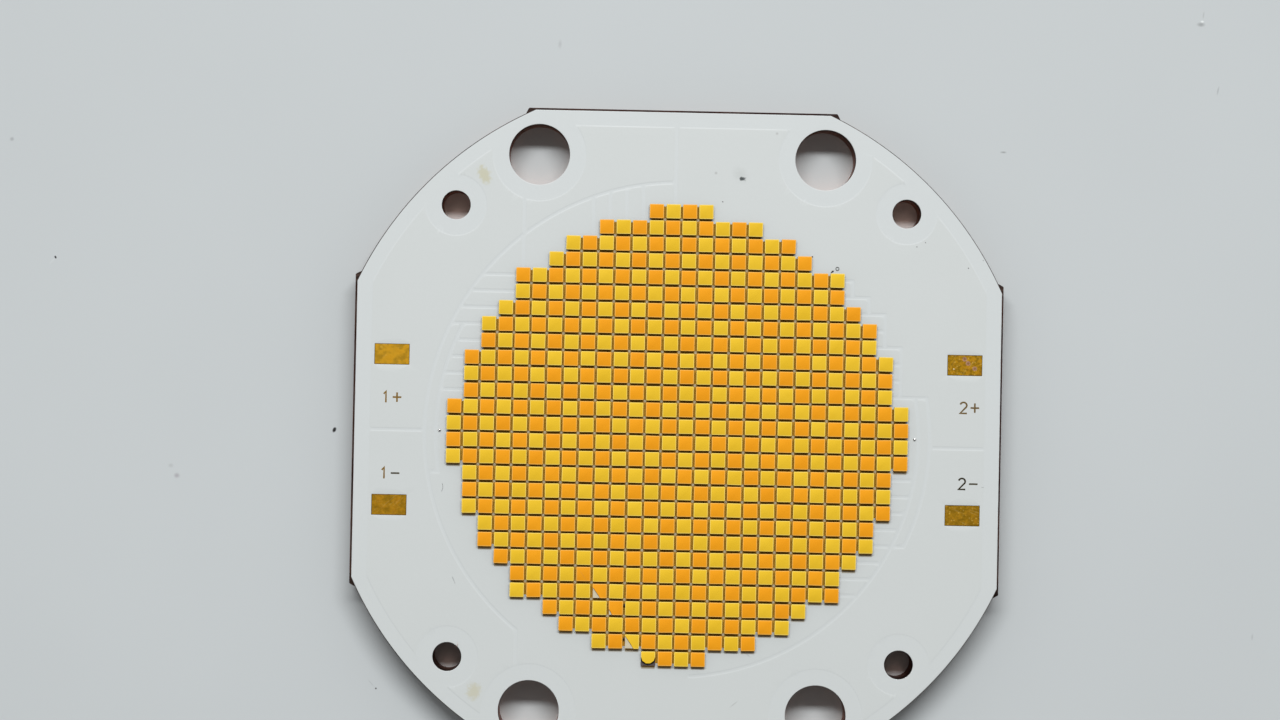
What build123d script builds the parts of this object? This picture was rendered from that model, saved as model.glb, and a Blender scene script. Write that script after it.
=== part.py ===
from build123d import *
from math import acos, asin, ceil, cos, degrees, hypot, radians, sin, sqrt, tan
import os

# Round light-emitting module: chips in two colours on a copper-cored circuit board.
# Millimetres. Origin at the centre of the board's underside, +Z up towards the chips, +Y towards
# the flat above the light field, +X towards the right-hand pads.

# Chips: squares on a square grid, every one that fits inside the round light field
light_field_radius = 22.94
chip_pitch = 1.628
chip_size = 1.40
chip_height = 0.38

# Copper core: a disc with four flats that are V-scored from both faces and snapped
rim_width = 12.06
flat_depth = 3.25
core_thickness = 3.0
score_depth = 1.2
score_angle = 24.0
ear_overrun = 0.55
ear_slope = 0.3

# Two patterns of four through holes, set in from the flats
screw_hole_diameter = 6.0
screw_hole_span_x = 28.2
screw_hole_flat_distance = 4.4
pin_hole_diameter = 2.85
pin_hole_flat_distance = 9.55

# Circuit layers on the core
dielectric_thickness = 0.10
foil_thickness = 0.07
mask_thickness = 0.05
laminate_setback = 0.08
foil_edge_margin = 1.5
foil_hole_margin = 1.6
mask_shoulder = 0.06
net_gap = 0.30
ring_clearance = 0.81
ring_piece_width = 1.10
hidden_ring_rows = 1.6

# Sides of the many-sided figures that the thin layers have for circles
etched_circle_sides = 36
layer_hole_sides = 20
hole_clearance_sides = 12
groove_end_sides = 8

# Solder pads and centre marks
pad_length = 3.45
pad_width = 2.05
pad_flat_distance = 3.55
pad_span_y = 14.8
pad_recess = 0.02
mark_diameter = 0.40
mark_clearance = 0.41

# Damaged chips, by row (counted up from the lowest) and column (counted right from the centre), with
# the two legs of a torn corner as shares of the chip's size
torn_corners = {(4, -5): (0.53, 0.75), (3, -4): (0.23, 0.41), (1, -3): (0.61, 0.89)}
torn_body_drop = 0.05
torn_body_inset = 0.03
bared_chip = (0, -2)
bared_phosphor_length = 1.20
bared_base_height = 0.25
bared_base_floor = 0.05
bared_base_gap = 0.09

# Grooves in the foil, by how many chip rows or columns they lie from the centre
top_gap_columns = -0.5
side_slot_columns = -9.5
left_gap_rows = 0.0
right_gap_rows = 0.5
left_finger_rows = (-9.5, -2.5)
right_finger_rows = (2.5, 9.5)
top_finger_columns = (-5.5, -2.5)
ring_piece_left_rows = (-6.5, 2.5)
ring_piece_right_rows = (-8.5, 6.5)
inner_ring_end_angle = -86.0

# Derived sizes
board_radius = light_field_radius + rim_width
half_flats = board_radius - flat_depth
screw_hole_span_y = 2 * (half_flats - screw_hole_flat_distance)
pin_hole_span = 2 * (half_flats - pin_hole_flat_distance)
pad_centre_x = half_flats - pad_flat_distance
mark_centre_x = light_field_radius + mark_clearance
inner_ring_radius = light_field_radius + ring_clearance
outer_ring_radius = inner_ring_radius + ring_piece_width
hidden_ring_radius = light_field_radius - hidden_ring_rows * chip_pitch
score_run = score_depth * tan(radians(score_angle / 2))
half_web = half_flats + score_run
foil_base = core_thickness + dielectric_thickness
foil_top = foil_base + foil_thickness
mask_top = foil_top + mask_thickness
beyond = 2 * board_radius

nodes = {}


def row_y(row):
    return -row * chip_pitch


def column_x(column):
    return column * chip_pitch


def reach(radius, offset):
    return sqrt(radius**2 - offset**2)


def centred_box(length, width, height, x, y, z):
    return Pos(x, y, z) * Box(length, width, height, align=(Align.CENTER, Align.CENTER, Align.MIN))


def raised(face, base, height):
    return extrude(Pos(0, 0, base) * face, height)


def keep(name, solids):
    if solids:
        nodes[name] = solids


# Holes, shared by every layer
def hole_centres():
    screw_grid = GridLocations(screw_hole_span_x, screw_hole_span_y, 2, 2)
    pin_grid = GridLocations(pin_hole_span, pin_hole_span, 2, 2)
    screws = [(place, screw_hole_diameter / 2) for place in screw_grid]
    pins = [(place, pin_hole_diameter / 2) for place in pin_grid]
    return screws + pins


def with_flats(disc, flat_setback):
    side = 2 * (half_flats - flat_setback)
    return disc & Rectangle(side, side)


def laminate_face():
    # The bonded layers reach the flats, stand a little back from the routed arcs and clear the holes.
    face = with_flats(Circle(board_radius - laminate_setback), 0)
    for place, radius in hole_centres():
        face -= place * RegularPolygon(radius, layer_hole_sides, major_radius=False)
    return face


# Copper core
def score_section():
    # The plate's section across two flats: each score leaves half a V above and below the snapped web.
    return Polyline(
        (-half_flats, 0),
        (half_flats, 0),
        (half_web, score_depth),
        (half_web, core_thickness - score_depth),
        (half_flats, core_thickness),
        (-half_flats, core_thickness),
        (-half_web, core_thickness - score_depth),
        (-half_web, score_depth),
        close=True,
    )


def ear_face():
    # The snapped web runs on past the corner and slopes back to the routed arc.
    corner = reach(board_radius, half_web)
    tip = corner + ear_overrun
    root = tip + ear_slope
    return make_face(
        Polyline(
            (half_web, corner - ear_slope),
            (half_web, tip),
            (reach(board_radius, root), root),
            (reach(board_radius, root) - ear_slope, corner - ear_slope),
            close=True,
        )
    )


def make_core():
    disc = extrude(Circle(board_radius), core_thickness)
    across_x = extrude(Plane.XZ * make_face(score_section()), beyond / 2, both=True)
    across_y = extrude(Plane.YZ * make_face(score_section()), beyond / 2, both=True)
    core = disc & across_x & across_y
    for place, radius in hole_centres():
        core -= place * extrude(Circle(radius), core_thickness)
    ear = raised(ear_face(), score_depth, core_thickness - 2 * score_depth)
    ears = [ear, mirror(ear, about=Plane.XZ)]
    for turn in range(4):
        core += [Rot(0, 0, 90 * turn) * piece for piece in ears]
    return core


# Grooves between the foil areas
def bar(x_from, x_to, y_from, y_to):
    return Pos((x_from + x_to) / 2, (y_from + y_to) / 2) * Rectangle(abs(x_to - x_from), abs(y_to - y_from))


def row_bar(width, row, x_from, x_to):
    return bar(x_from, x_to, row_y(row) - width / 2, row_y(row) + width / 2)


def row_point(row, radius, side):
    return side * reach(radius, row_y(row)), row_y(row)


def row_between(width, row, inner_radius, outer_radius, side):
    return row_bar(width, row, row_point(row, inner_radius, side)[0], row_point(row, outer_radius, side)[0])


def ring_point(radius, angle):
    return radius * cos(radians(angle)), radius * sin(radians(angle))


def arc_groove(radius, width, angle_from, angle_to):
    turn = angle_to - angle_from
    steps = ceil(abs(turn) * etched_circle_sides / 360)
    angles = [angle_from + turn * step / steps for step in range(steps + 1)]
    outer = [ring_point(radius + width / 2, angle) for angle in angles]
    inner = [ring_point(radius - width / 2, angle) for angle in reversed(angles)]
    return make_face(Polyline(*outer, *inner, close=True))


def angle_at_height(radius, y):
    return degrees(asin(y / radius))


def rows_between(span):
    count = round(span[1] - span[0]) + 1
    return [span[0] + step for step in range(count)]


def arc_to_row(radius, width, angle_from, row):
    # A groove along a ring, up to a chip row's height on the right-hand side.
    return arc_groove(radius, width, angle_from, angle_at_height(radius, row_y(row)))


def ring_grooves(width):
    slot_angle = degrees(acos(-column_x(side_slot_columns) / outer_ring_radius))
    top_angle = degrees(acos(column_x(top_gap_columns) / outer_ring_radius))
    right_end_angle = angle_at_height(outer_ring_radius, row_y(ring_piece_right_rows[1]))
    left_end_angle = angle_at_height(inner_ring_radius, row_y(ring_piece_left_rows[1]))
    left_inner = arc_to_row(inner_ring_radius, width, left_end_angle, ring_piece_left_rows[0])
    return [
        arc_groove(outer_ring_radius, width, top_angle, 180 + slot_angle),
        arc_to_row(outer_ring_radius, width, right_end_angle, ring_piece_right_rows[0]),
        arc_to_row(inner_ring_radius, width, inner_ring_end_angle, ring_piece_right_rows[0]),
        mirror(left_inner, about=Plane.YZ),
    ]


def straight_grooves(width):
    half = width / 2
    root = hidden_ring_radius - half
    top_x = column_x(top_gap_columns)
    slot_x = column_x(side_slot_columns)
    cuts = [
        bar(top_x - half, top_x + half, root, beyond),
        bar(slot_x - half, slot_x + half, reach(root, slot_x), beyond),
        bar(slot_x - half, slot_x + half, -beyond, -reach(outer_ring_radius, slot_x)),
        row_bar(width, left_gap_rows, -beyond, -outer_ring_radius),
        row_bar(width, right_gap_rows, outer_ring_radius, beyond),
        row_between(width, ring_piece_left_rows[1], inner_ring_radius, outer_ring_radius, -1),
        row_between(width, ring_piece_right_rows[1], inner_ring_radius, outer_ring_radius, 1),
        row_between(width, ring_piece_right_rows[0], root, outer_ring_radius, 1),
    ]
    for row in rows_between(left_finger_rows):
        ring = outer_ring_radius if row <= ring_piece_left_rows[0] else inner_ring_radius
        cuts.append(row_between(width, row, root, ring, -1))
    for row in rows_between(right_finger_rows):
        cuts.append(row_between(width, row, root, inner_ring_radius, 1))
    for column in rows_between(top_finger_columns):
        x = column_x(column)
        cuts.append(bar(x - half, x + half, reach(root, x), reach(outer_ring_radius, x)))
    return cuts


def round_corners(width):
    # Where two grooves end on each other, or one ends free, the etched corner is rounded.
    slot_x = column_x(side_slot_columns)
    corners = [
        ring_point(inner_ring_radius, inner_ring_end_angle),
        (slot_x, -reach(outer_ring_radius, slot_x)),
        row_point(ring_piece_left_rows[1], inner_ring_radius, -1),
        row_point(ring_piece_right_rows[1], outer_ring_radius, 1),
        row_point(ring_piece_right_rows[0], outer_ring_radius, 1),
    ]
    return [Pos(x, y) * RegularPolygon(width / 2, groove_end_sides) for x, y in corners]


def surface_grooves(width):
    return straight_grooves(width) + ring_grooves(width) + round_corners(width)


def hidden_grooves(width):
    # Under the chips: the foil is cut along every row's centre line, and from the areas around it.
    half = width / 2
    outer = RegularPolygon(hidden_ring_radius + half, etched_circle_sides)
    inner = RegularPolygon(hidden_ring_radius - half, etched_circle_sides)
    cuts = [outer - inner]
    for y, _, _ in chip_rows:
        if abs(y) < hidden_ring_radius:
            run = reach(hidden_ring_radius, y)
            cuts.append(bar(-run, run, y - half, y + half))
    return cuts


def foil_field(growth):
    edge_margin = foil_edge_margin - growth
    field = with_flats(RegularPolygon(board_radius - edge_margin, etched_circle_sides), edge_margin)
    for place, radius in hole_centres():
        field -= place * RegularPolygon(radius + foil_hole_margin - growth, hole_clearance_sides)
    return field


def cut_all(face, cuts):
    for cut in cuts:
        face -= cut
    return face


# Chip grid
def chip_fits(x, y):
    return hypot(abs(x) + chip_size / 2, abs(y) + chip_size / 2) <= light_field_radius


def chip_grid():
    cells = int(light_field_radius / chip_pitch) + 1
    grid = []
    for row in range(-cells, cells):
        y = row_y(row + 0.5)
        columns = [column for column in range(-cells, cells) if chip_fits(column_x(column + 0.5), y)]
        if columns:
            grid.append((y, row, columns))
    return grid


def whole_chip(x, y):
    return centred_box(chip_size, chip_size, chip_height, x, y, mask_top)


def torn_chip(x, y, shares):
    # A corner of the phosphor is gone and shows the paler body under it.
    left = x - chip_size / 2
    low = y - chip_size / 2
    run, rise = [share * chip_size for share in shares]
    tear = make_face(Polyline((left, low), (left + run, low), (left, low + rise), close=True))
    square = Pos(x, y) * Rectangle(chip_size, chip_size)
    inner = Pos(x, y) * Rectangle(chip_size - 2 * torn_body_inset, chip_size - 2 * torn_body_inset)
    phosphor = raised(square - tear, mask_top, chip_height)
    body = raised(inner & tear, mask_top, chip_height - torn_body_drop)
    return phosphor, body


def rounded_end(x, y, growth):
    # The rest of a slipped phosphor: straight at the top, round at the bottom.
    radius = chip_size / 2 + growth
    centre = y + chip_size / 2 - bared_phosphor_length + chip_size / 2
    square = Pos(x, y) * Rectangle(chip_size, chip_size)
    upper = bar(x - chip_size / 2, x + chip_size / 2, centre, y + chip_size / 2)
    return square & (upper + Pos(x, centre) * Circle(radius))


def bared_chip_parts(x, y):
    square = Pos(x, y) * Rectangle(chip_size, chip_size)
    floor_top = mask_top + bared_base_floor
    pocket = raised(rounded_end(x, y, bared_base_gap), floor_top, bared_base_height)
    base = raised(square, mask_top, bared_base_height) - pocket
    phosphor = raised(rounded_end(x, y, 0), floor_top, chip_height - bared_base_floor)
    return phosphor, base


def make_chips():
    colours = ("orange", "yellow")
    lowest = chip_rows[-1][1]
    bodies = []
    bases = []
    for first in range(0, len(chip_rows), 2):
        groups = {colour: [] for colour in colours}
        for y, row, columns in chip_rows[first : first + 2]:
            for column in columns:
                x = column_x(column + 0.5)
                chip = whole_chip(x, y)
                place = (lowest - row, column)
                if place in torn_corners:
                    chip, body = torn_chip(x, y, torn_corners[place])
                    bodies += body.solids()
                if place == bared_chip:
                    chip, base = bared_chip_parts(x, y)
                    bases += base.solids()
                groups[colours[(row + column) % 2]] += chip.solids()
        for colour in colours:
            keep(f"{colour}_chips_rows_{first + 1:02d}_{first + 2:02d}", groups[colour])
    keep("torn_chip_bodies", bodies)
    keep("bared_chip_base", bases)


# Foil areas, each named for the pad or side that it serves
def make_foil():
    faces = cut_all(foil_field(0), surface_grooves(net_gap) + hidden_grooves(net_gap)).faces()
    pad_y = pad_span_y / 2
    seeds = {
        "foil_upper_left": (-pad_centre_x, pad_y),
        "foil_lower_left": (-pad_centre_x, -pad_y),
        "foil_upper_right": (pad_centre_x, pad_y),
        "foil_lower_right": (pad_centre_x, -pad_y),
        "foil_top": (column_x(top_gap_columns) - foil_edge_margin, outer_ring_radius + foil_edge_margin),
    }
    groups = {name: [] for name in seeds}
    groups.update(foil_ring_pieces=[], foil_row_strips=[], foil_fingers_left=[], foil_fingers_right=[])
    for face in faces:
        name = next((name for name, (x, y) in seeds.items() if face.is_inside((x, y, 0))), None)
        if name is None:
            x, y, _ = face.center()
            reach_out = max(hypot(corner.X, corner.Y) for corner in face.vertices())
            nearest = min(hypot(corner.X, corner.Y) for corner in face.vertices())
            if reach_out < hidden_ring_radius:
                name = "foil_row_strips"
            elif nearest > inner_ring_radius:
                name = "foil_ring_pieces"
            else:
                name = "foil_fingers_left" if x < 0 else "foil_fingers_right"
        groups[name] += raised(face, foil_base, foil_thickness).solids()
    for name, solids in groups.items():
        keep(name, solids)


# White mask: fills the grooves that show and covers the foil, with windows over the pads and marks
def make_mask():
    foil = cut_all(foil_field(0), surface_grooves(net_gap))
    cover = cut_all(foil_field(mask_shoulder), surface_grooves(net_gap - 2 * mask_shoulder))
    for x, y in pad_places():
        cover -= Pos(x, y) * Rectangle(pad_length, pad_width)
    for x in (-mark_centre_x, mark_centre_x):
        cover -= Pos(x, 0) * mark_face()
    lower = raised(laminate_face() - foil, foil_base, foil_thickness)
    upper = raised(cover, foil_top, mask_thickness)
    return lower + upper


def make_dielectric():
    return raised(laminate_face(), core_thickness, dielectric_thickness)


# Pads and marks, let into the mask windows
def pad_places():
    return [(side * pad_centre_x, level * pad_span_y / 2) for side in (-1, 1) for level in (1, -1)]


def mark_face():
    return RegularPolygon(mark_diameter / 2, groove_end_sides)


def make_pads():
    names = ("pad_upper_left", "pad_lower_left", "pad_upper_right", "pad_lower_right")
    for name, (x, y) in zip(names, pad_places()):
        pad = centred_box(pad_length, pad_width, mask_thickness - pad_recess, x, y, foil_top)
        keep(name, pad.solids())


def make_marks():
    dots = []
    for x in (-mark_centre_x, mark_centre_x):
        dots += raised(Pos(x, 0) * mark_face(), foil_top, mask_thickness).solids()
    keep("centre_marks", dots)


chip_rows = chip_grid()
keep("copper_core", make_core().solids())
keep("dielectric_layer", make_dielectric().solids())
keep("solder_mask", make_mask().solids())
make_foil()
make_pads()
make_marks()
make_chips()

os.makedirs("parts", exist_ok=True)
for name, solids in nodes.items():
    export_step(Compound(solids), f"parts/{name}.step")
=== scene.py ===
"""Dresses the round light board: copper plate, white coat over the circuit, gold pads and two-colour chips.

Lengths in the classes are millimetres from the board's centre, +Z up, and each mesh is put into metres when it
is made, so that every object sits at the origin of the CAD frame.
"""

import logging
import math
from dataclasses import dataclass, field
from enum import Enum
from typing import Any, Callable, Sequence

import bmesh
import bpy
import numpy as np
from mathutils import Matrix, Vector
from mathutils.geometry import delaunay_2d_cdt


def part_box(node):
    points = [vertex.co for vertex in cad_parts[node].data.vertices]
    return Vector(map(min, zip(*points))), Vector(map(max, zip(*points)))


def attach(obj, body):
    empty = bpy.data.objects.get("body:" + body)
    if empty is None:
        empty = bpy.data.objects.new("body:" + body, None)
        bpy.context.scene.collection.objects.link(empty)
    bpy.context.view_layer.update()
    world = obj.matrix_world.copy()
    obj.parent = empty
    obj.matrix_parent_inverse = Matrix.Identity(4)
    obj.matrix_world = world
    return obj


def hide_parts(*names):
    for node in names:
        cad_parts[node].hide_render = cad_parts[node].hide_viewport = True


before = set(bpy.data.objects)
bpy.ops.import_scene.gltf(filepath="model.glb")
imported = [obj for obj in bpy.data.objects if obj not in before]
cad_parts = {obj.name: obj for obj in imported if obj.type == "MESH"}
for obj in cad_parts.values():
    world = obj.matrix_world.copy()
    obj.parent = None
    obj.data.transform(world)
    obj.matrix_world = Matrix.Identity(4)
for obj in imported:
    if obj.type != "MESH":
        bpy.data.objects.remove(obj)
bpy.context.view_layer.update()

log = logging.getLogger("light_board")

MM = 0.001  # a millimetre in the frame's metres
BODY = "root"  # the CAD body that every piece rides on
SEED = 20  # for the small differences between chips; those between crumbs take the next number
QUARTER = math.pi / 2
ORIGIN = (0.0, 0.0, 0.0)
Array = np.ndarray
Pair = tuple[float, float]
Colour = tuple[float, float, float]
Material = bpy.types.Material
Mesh = bpy.types.Mesh
Socket = bpy.types.NodeSocket
Value = float | Colour | Socket  # what can feed a node's input


class Side(Enum):
    """The two sides of the board, by the sign of X."""

    LEFT = -1
    RIGHT = 1


class Level(Enum):
    """The two halves of the board, by the sign of Y."""

    UPPER = 1
    LOWER = -1


class Phosphor(Enum):
    """The two colours of the chips, by what a chip's row and column add up to, even or odd."""

    ORANGE = 0
    YELLOW = 1


def corner_name(side: Side, level: Level) -> str:
    """The name of a quarter of the board, as 'upper_left'."""
    return f"{level.name.lower()}_{side.name.lower()}"


def top_of(node: str) -> float:
    """Height of a CAD node's top in millimetres."""
    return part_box(node)[1].z / MM


# Mesh making


@dataclass
class Patch:
    """Part of a surface."""

    points: Array
    faces: list[Array]


def tube(rings: Array, inward: bool = False, closed: bool = False) -> Patch:
    """Joins closed rings of points into walls: corner k of ring i meets corner k + 1, and the same of ring i + 1.

    Args:
        rings: Array of shape (..., rings, corners, 3), each ring running anticlockwise seen from +Z, lowest first.
        inward: True where the wall faces its axis, as in a hole.
        closed: True where the last ring is filled by a lid and the first one by a floor.

    Returns:
        The walls, with their lids and floors.
    """
    number = np.arange(rings[..., 0].size).reshape(rings.shape[:-1])
    ahead = np.roll(number, -1, axis=-1)
    quads = np.stack([number[..., :-1, :], ahead[..., :-1, :], ahead[..., 1:, :], number[..., 1:, :]], axis=-1)
    faces = [quads.reshape(-1, 4)]
    if closed:
        corners = number.shape[-1]
        faces += [number[..., -1, :].reshape(-1, corners), number[..., 0, ::-1].reshape(-1, corners)]
    return Patch(rings.reshape(-1, 3), [block[:, ::-1] if inward else block for block in faces])


def sheet_grid(x: Array, y: Array, z: Array) -> Patch:
    """Joins a rectangular grid of points into quads that face +Z where y grows with the first index.

    Args:
        x: X of every point, shape (rows, columns).
        y: Y of every point.
        z: Z of every point.

    Returns:
        The face.
    """
    number = np.arange(x.size).reshape(x.shape)
    quads = np.stack([number[:-1, :-1], number[:-1, 1:], number[1:, 1:], number[1:, :-1]], axis=-1)
    return Patch(np.stack([x, y, z], axis=-1).reshape(-1, 3), [quads.reshape(-1, 4)])


def join(patches: Sequence[Patch]) -> Patch:
    """Puts patches into one, with the corner numbers moved on.

    Args:
        patches: The patches, in the order that their corners take.

    Returns:
        One patch.
    """
    shift = 0
    points: list[Array] = []
    faces: list[Array] = []
    for patch in patches:
        points.append(patch.points)
        faces += [block + shift for block in patch.faces]
        shift += len(patch.points)
    return Patch(np.concatenate(points), faces)


def make_piece(
    name: str,
    patch: Patch,
    material: Material,
    replaces: Sequence[str] = (),
    sharp_angle: float = 35.0,
    weld: float = 0.0005,
) -> bpy.types.Object:
    """Makes one piece of the board, seated on the CAD body.

    Args:
        name: The piece's name.
        patch: Its surface in millimetres.
        material: Its material.
        replaces: CAD nodes that it stands for.
        sharp_angle: Edges that turn by more than this many degrees are shaded sharp.
        weld: Corners nearer than this many millimetres become one, 0 for none.

    Returns:
        The object, at the origin, with its place in its mesh.
    """
    mesh = bpy.data.meshes.new(name)
    rows = [row for block in patch.faces for row in block.tolist()]
    mesh.from_pydata((patch.points * MM).tolist(), [], rows)
    if weld:
        work = bmesh.new()
        work.from_mesh(mesh)
        bmesh.ops.remove_doubles(work, verts=work.verts, dist=weld * MM)
        work.to_mesh(mesh)
        work.free()
    mesh.shade_smooth()
    mesh.set_sharp_from_angle(angle=math.radians(sharp_angle))
    mesh.materials.append(material)
    piece = bpy.data.objects.new(name, mesh)
    bpy.context.scene.collection.objects.link(piece)
    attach(piece, BODY)
    if replaces:
        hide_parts(*replaces)
    log.info("%s: %d faces", name, len(mesh.polygons))
    return piece


def read(items: bpy.types.bpy_prop_collection, name: str, width: int = 1, kind: type = float) -> Array:
    """Reads one property of all corners or faces of a mesh as an array.

    Args:
        items: The mesh's corners or faces.
        name: The property.
        width: How many numbers each has.
        kind: Their type.

    Returns:
        The numbers, one row each where there are several.
    """
    values = np.zeros(len(items) * width, dtype=kind)
    items.foreach_get(name, values)
    return values.reshape(-1, width) if width > 1 else values


def corner_places(mesh: Mesh) -> Array:
    """Places of a mesh's corners in millimetres, one row each."""
    return read(mesh.vertices, "co", 3) / MM


def paint(mesh: Mesh, name: str, values: Array) -> None:
    """Writes an attribute of one value for each corner, which the material reads by its name."""
    mesh.attributes.new(name, "FLOAT", "POINT").data.foreach_set("value", values)


def unwrap(mesh: Mesh, name: str, flat: Array) -> None:
    """Writes a UV map from one flat point for each corner."""
    numbers = read(mesh.loops, "vertex_index", kind=np.int32)
    mesh.uv_layers.new(name=name).data.foreach_set("uv", flat[numbers].ravel())


def polar(radius: float | Array, angle: Array, centre: Pair = (0.0, 0.0)) -> Array:
    """Flat points at a radius and angles about a centre: centre + radius * (cos a, sin a)."""
    return np.stack([centre[0] + radius * np.cos(angle), centre[1] + radius * np.sin(angle)], axis=-1)


def ring_points(centre: Pair, radius: float, count: int) -> Array:
    """Points evenly round a circle, anticlockwise from +X."""
    return polar(radius, np.linspace(0, math.tau, count, endpoint=False), centre)


def rounded_box(half_x: float, half_y: float, corner: float, count: int, first: int = 0) -> Array:
    """Outline of a rounded rectangle about its own middle: quarter circles about its corners' centres.

    Args:
        half_x: Half its width.
        half_y: Half its height.
        corner: Radius of its corners.
        count: Points at each corner.
        first: Quarter turns from +X at which it starts.

    Returns:
        The flat points, anticlockwise.
    """
    turn = np.linspace(0, QUARTER, count)
    arcs = []
    for quarter in range(first, first + 4):
        middle = (quarter + 0.5) * QUARTER
        x, y = math.copysign(half_x - corner, math.cos(middle)), math.copysign(half_y - corner, math.sin(middle))
        arcs.append(polar(corner, turn + quarter * QUARTER, (x, y)))
    return np.concatenate(arcs)


def at_height(flat: Array, z: float | Array) -> Array:
    """Gives flat points their height."""
    return np.concatenate([flat, np.broadcast_to(np.asarray(z, float)[..., None], (*flat.shape[:-1], 1))], axis=-1)


def ripple(place: Array, waves: Sequence[tuple[float, float, float]]) -> Array:
    """Adds up sines, amplitude * sin(frequency * place + phase), for an uneven edge or face."""
    return sum(size * np.sin(rate * place + phase) for size, rate, phase in waves)


def triangulate(
    loops: Sequence[Array], loose: Array, wanted: Callable[[Array], Array], merge: float = 1e-7
) -> tuple[Array, Array]:
    """Triangulates the plane between closed loops, through loose points as well.

    A triangle's turn, the cross product of b - a and c - a, is negative where its corners run clockwise.

    Args:
        loops: Closed loops of flat points whose sides are kept as edges.
        loose: Further flat points.
        wanted: Function of flat points that is True where the surface is to be.
        merge: Points nearer than this become one.

    Returns:
        The flat points and the triangles, anticlockwise seen from +Z.
    """
    corners = np.concatenate([*loops, loose])
    edges: list[tuple[int, int]] = []
    start = 0
    for loop in loops:
        numbers = start + np.arange(len(loop))
        edges += list(zip(numbers.tolist(), np.roll(numbers, -1).tolist()))
        start += len(loop)
    made = delaunay_2d_cdt([Vector(corner) for corner in corners], edges, [], 0, merge)
    points = np.array([tuple(point) for point in made[0]])
    triangles = np.array(made[2])
    triangles = triangles[wanted(points[triangles].mean(axis=1))]
    a, b, c = (points[triangles[:, k]] for k in range(3))
    turn = (b[:, 0] - a[:, 0]) * (c[:, 1] - a[:, 1]) - (b[:, 1] - a[:, 1]) * (c[:, 0] - a[:, 0])
    triangles[turn < 0] = triangles[turn < 0][:, ::-1]
    return points, triangles


# Board outline and holes


@dataclass(frozen=True)
class Hole:
    """A round hole through the board, by its centre and radius."""

    x: float
    y: float
    radius: float

    def beyond(self, place: Array) -> Array:
        """How far flat points lie outside the edge of an upper right hole and of its three mirror images."""
        return np.hypot(np.abs(place[..., 0]) - self.x, np.abs(place[..., 1]) - self.y) - self.radius


@dataclass(frozen=True)
class BoardPlan:
    """The board's outline, holes and circuit seen from above.

    Attributes:
        radius: Radius of the routed arcs.
        half_flats: Distance from the centre to a flat.
        half_web: Distance from the centre to the snapped web that stands out of a flat.
        laminate_setback: How far the bonded layers stand back from the routed arcs.
        screw_hole: Centre and radius of the upper right screw hole.
        pin_hole: Centre and radius of the upper right pin hole.
        edge_margin: Distance from the board's edge to the foil.
        hole_margin: Distance from a hole's edge to the foil.
        groove_width: Width of the grooves between foil areas.
        inner_ring: Radius of the groove round the light field.
        outer_ring: Radius of the groove outside the narrow ring pieces.
        field_radius: Radius that the chips stay inside.
        pitch: Chip pitch, which also sets the grooves' places.
        chip_size: Side of a chip.
    """

    radius: float = 35.0
    half_flats: float = 31.75
    half_web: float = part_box("copper_core")[1].x / MM
    laminate_setback: float = 0.08
    screw_hole: Hole = Hole(14.1, 27.35, 3.0)
    pin_hole: Hole = Hole(22.2, 22.2, 1.425)
    edge_margin: float = 1.5
    hole_margin: float = 1.6
    groove_width: float = 0.30
    inner_ring: float = 23.75
    outer_ring: float = 24.85
    field_radius: float = 22.94
    pitch: float = 1.628
    chip_size: float = 1.40

    def holes(self) -> list[Hole]:
        """All eight holes, each kind mirrored into the four quarters.

        Returns:
            The screw holes, then the pin holes.
        """
        signs = [(side.value, level.value) for side in Side for level in Level]
        kinds = (self.screw_hole, self.pin_hole)
        return [Hole(sx * hole.x, sy * hole.y, hole.radius) for hole in kinds for sx, sy in signs]

    def bearings(self, count: int) -> Array:
        """Angles round the board, evenly spread, with the corners between flats and arcs added.

        Args:
            count: How many angles are evenly spread.

        Returns:
            The angles in radians, from 0 up.
        """
        edges = (self.radius, self.radius - self.laminate_setback)
        corners = [math.acos(flat / edge) for flat in (self.half_flats, self.half_web) for edge in edges]
        signed = [sign * corner for corner in corners for sign in (-1, 1)]
        extra = [quarter * QUARTER + corner for quarter in range(4) for corner in signed]
        spread = np.linspace(0, math.tau, count, endpoint=False)
        return np.unique(np.round(np.mod(np.concatenate([spread, extra]), math.tau), 7))

    def outline(self, angle: Array, flat: float | Array, radius: float) -> Array:
        """Distance to the edge: the smaller of the arc's radius and flat / cos(angle from the flat)."""
        turned = np.mod(angle + math.pi / 4, QUARTER) - math.pi / 4
        return np.minimum(radius, flat / np.cos(turned))

    def inside(
        self, place: Array, from_flats: float = 0.0, from_arcs: float = 0.0, from_holes: float = 0.0
    ) -> Array:
        """How far flat points lie inside the board: the least distance to its flats, arcs and holes.

        Args:
            place: The points.
            from_flats: Margin along the flats.
            from_arcs: Margin along the routed arcs.
            from_holes: Margin round the holes.

        Returns:
            The distances, negative where a point is in a margin or off the board.
        """
        x, y = np.abs(place[..., 0]), np.abs(place[..., 1])
        flats = self.half_flats - from_flats - np.maximum(x, y)
        holes = np.minimum(self.screw_hole.beyond(place), self.pin_hole.beyond(place)) - from_holes
        return np.minimum.reduce([flats, self.radius - from_arcs - np.hypot(x, y), holes])

    def chips_end(self, row: float) -> float:
        """Right edge of a row of chips: the last chip whose outer corner is in the round field.

        Args:
            row: The row's number.

        Returns:
            X of the edge.
        """
        half = self.chip_size / 2
        corner = self.reach(self.field_radius, abs(self.row_y(row)) + half)
        return (math.floor((corner - half) / self.pitch - 0.5) + 0.5) * self.pitch + half

    def row_y(self, row: float) -> float:
        """Y of a chip row that is counted down from the centre."""
        return -row * self.pitch

    def reach(self, radius: float, offset: float) -> float:
        """Half the chord of a circle at an offset from its centre."""
        return math.sqrt(radius**2 - offset**2)


PLAN = BoardPlan()


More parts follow.
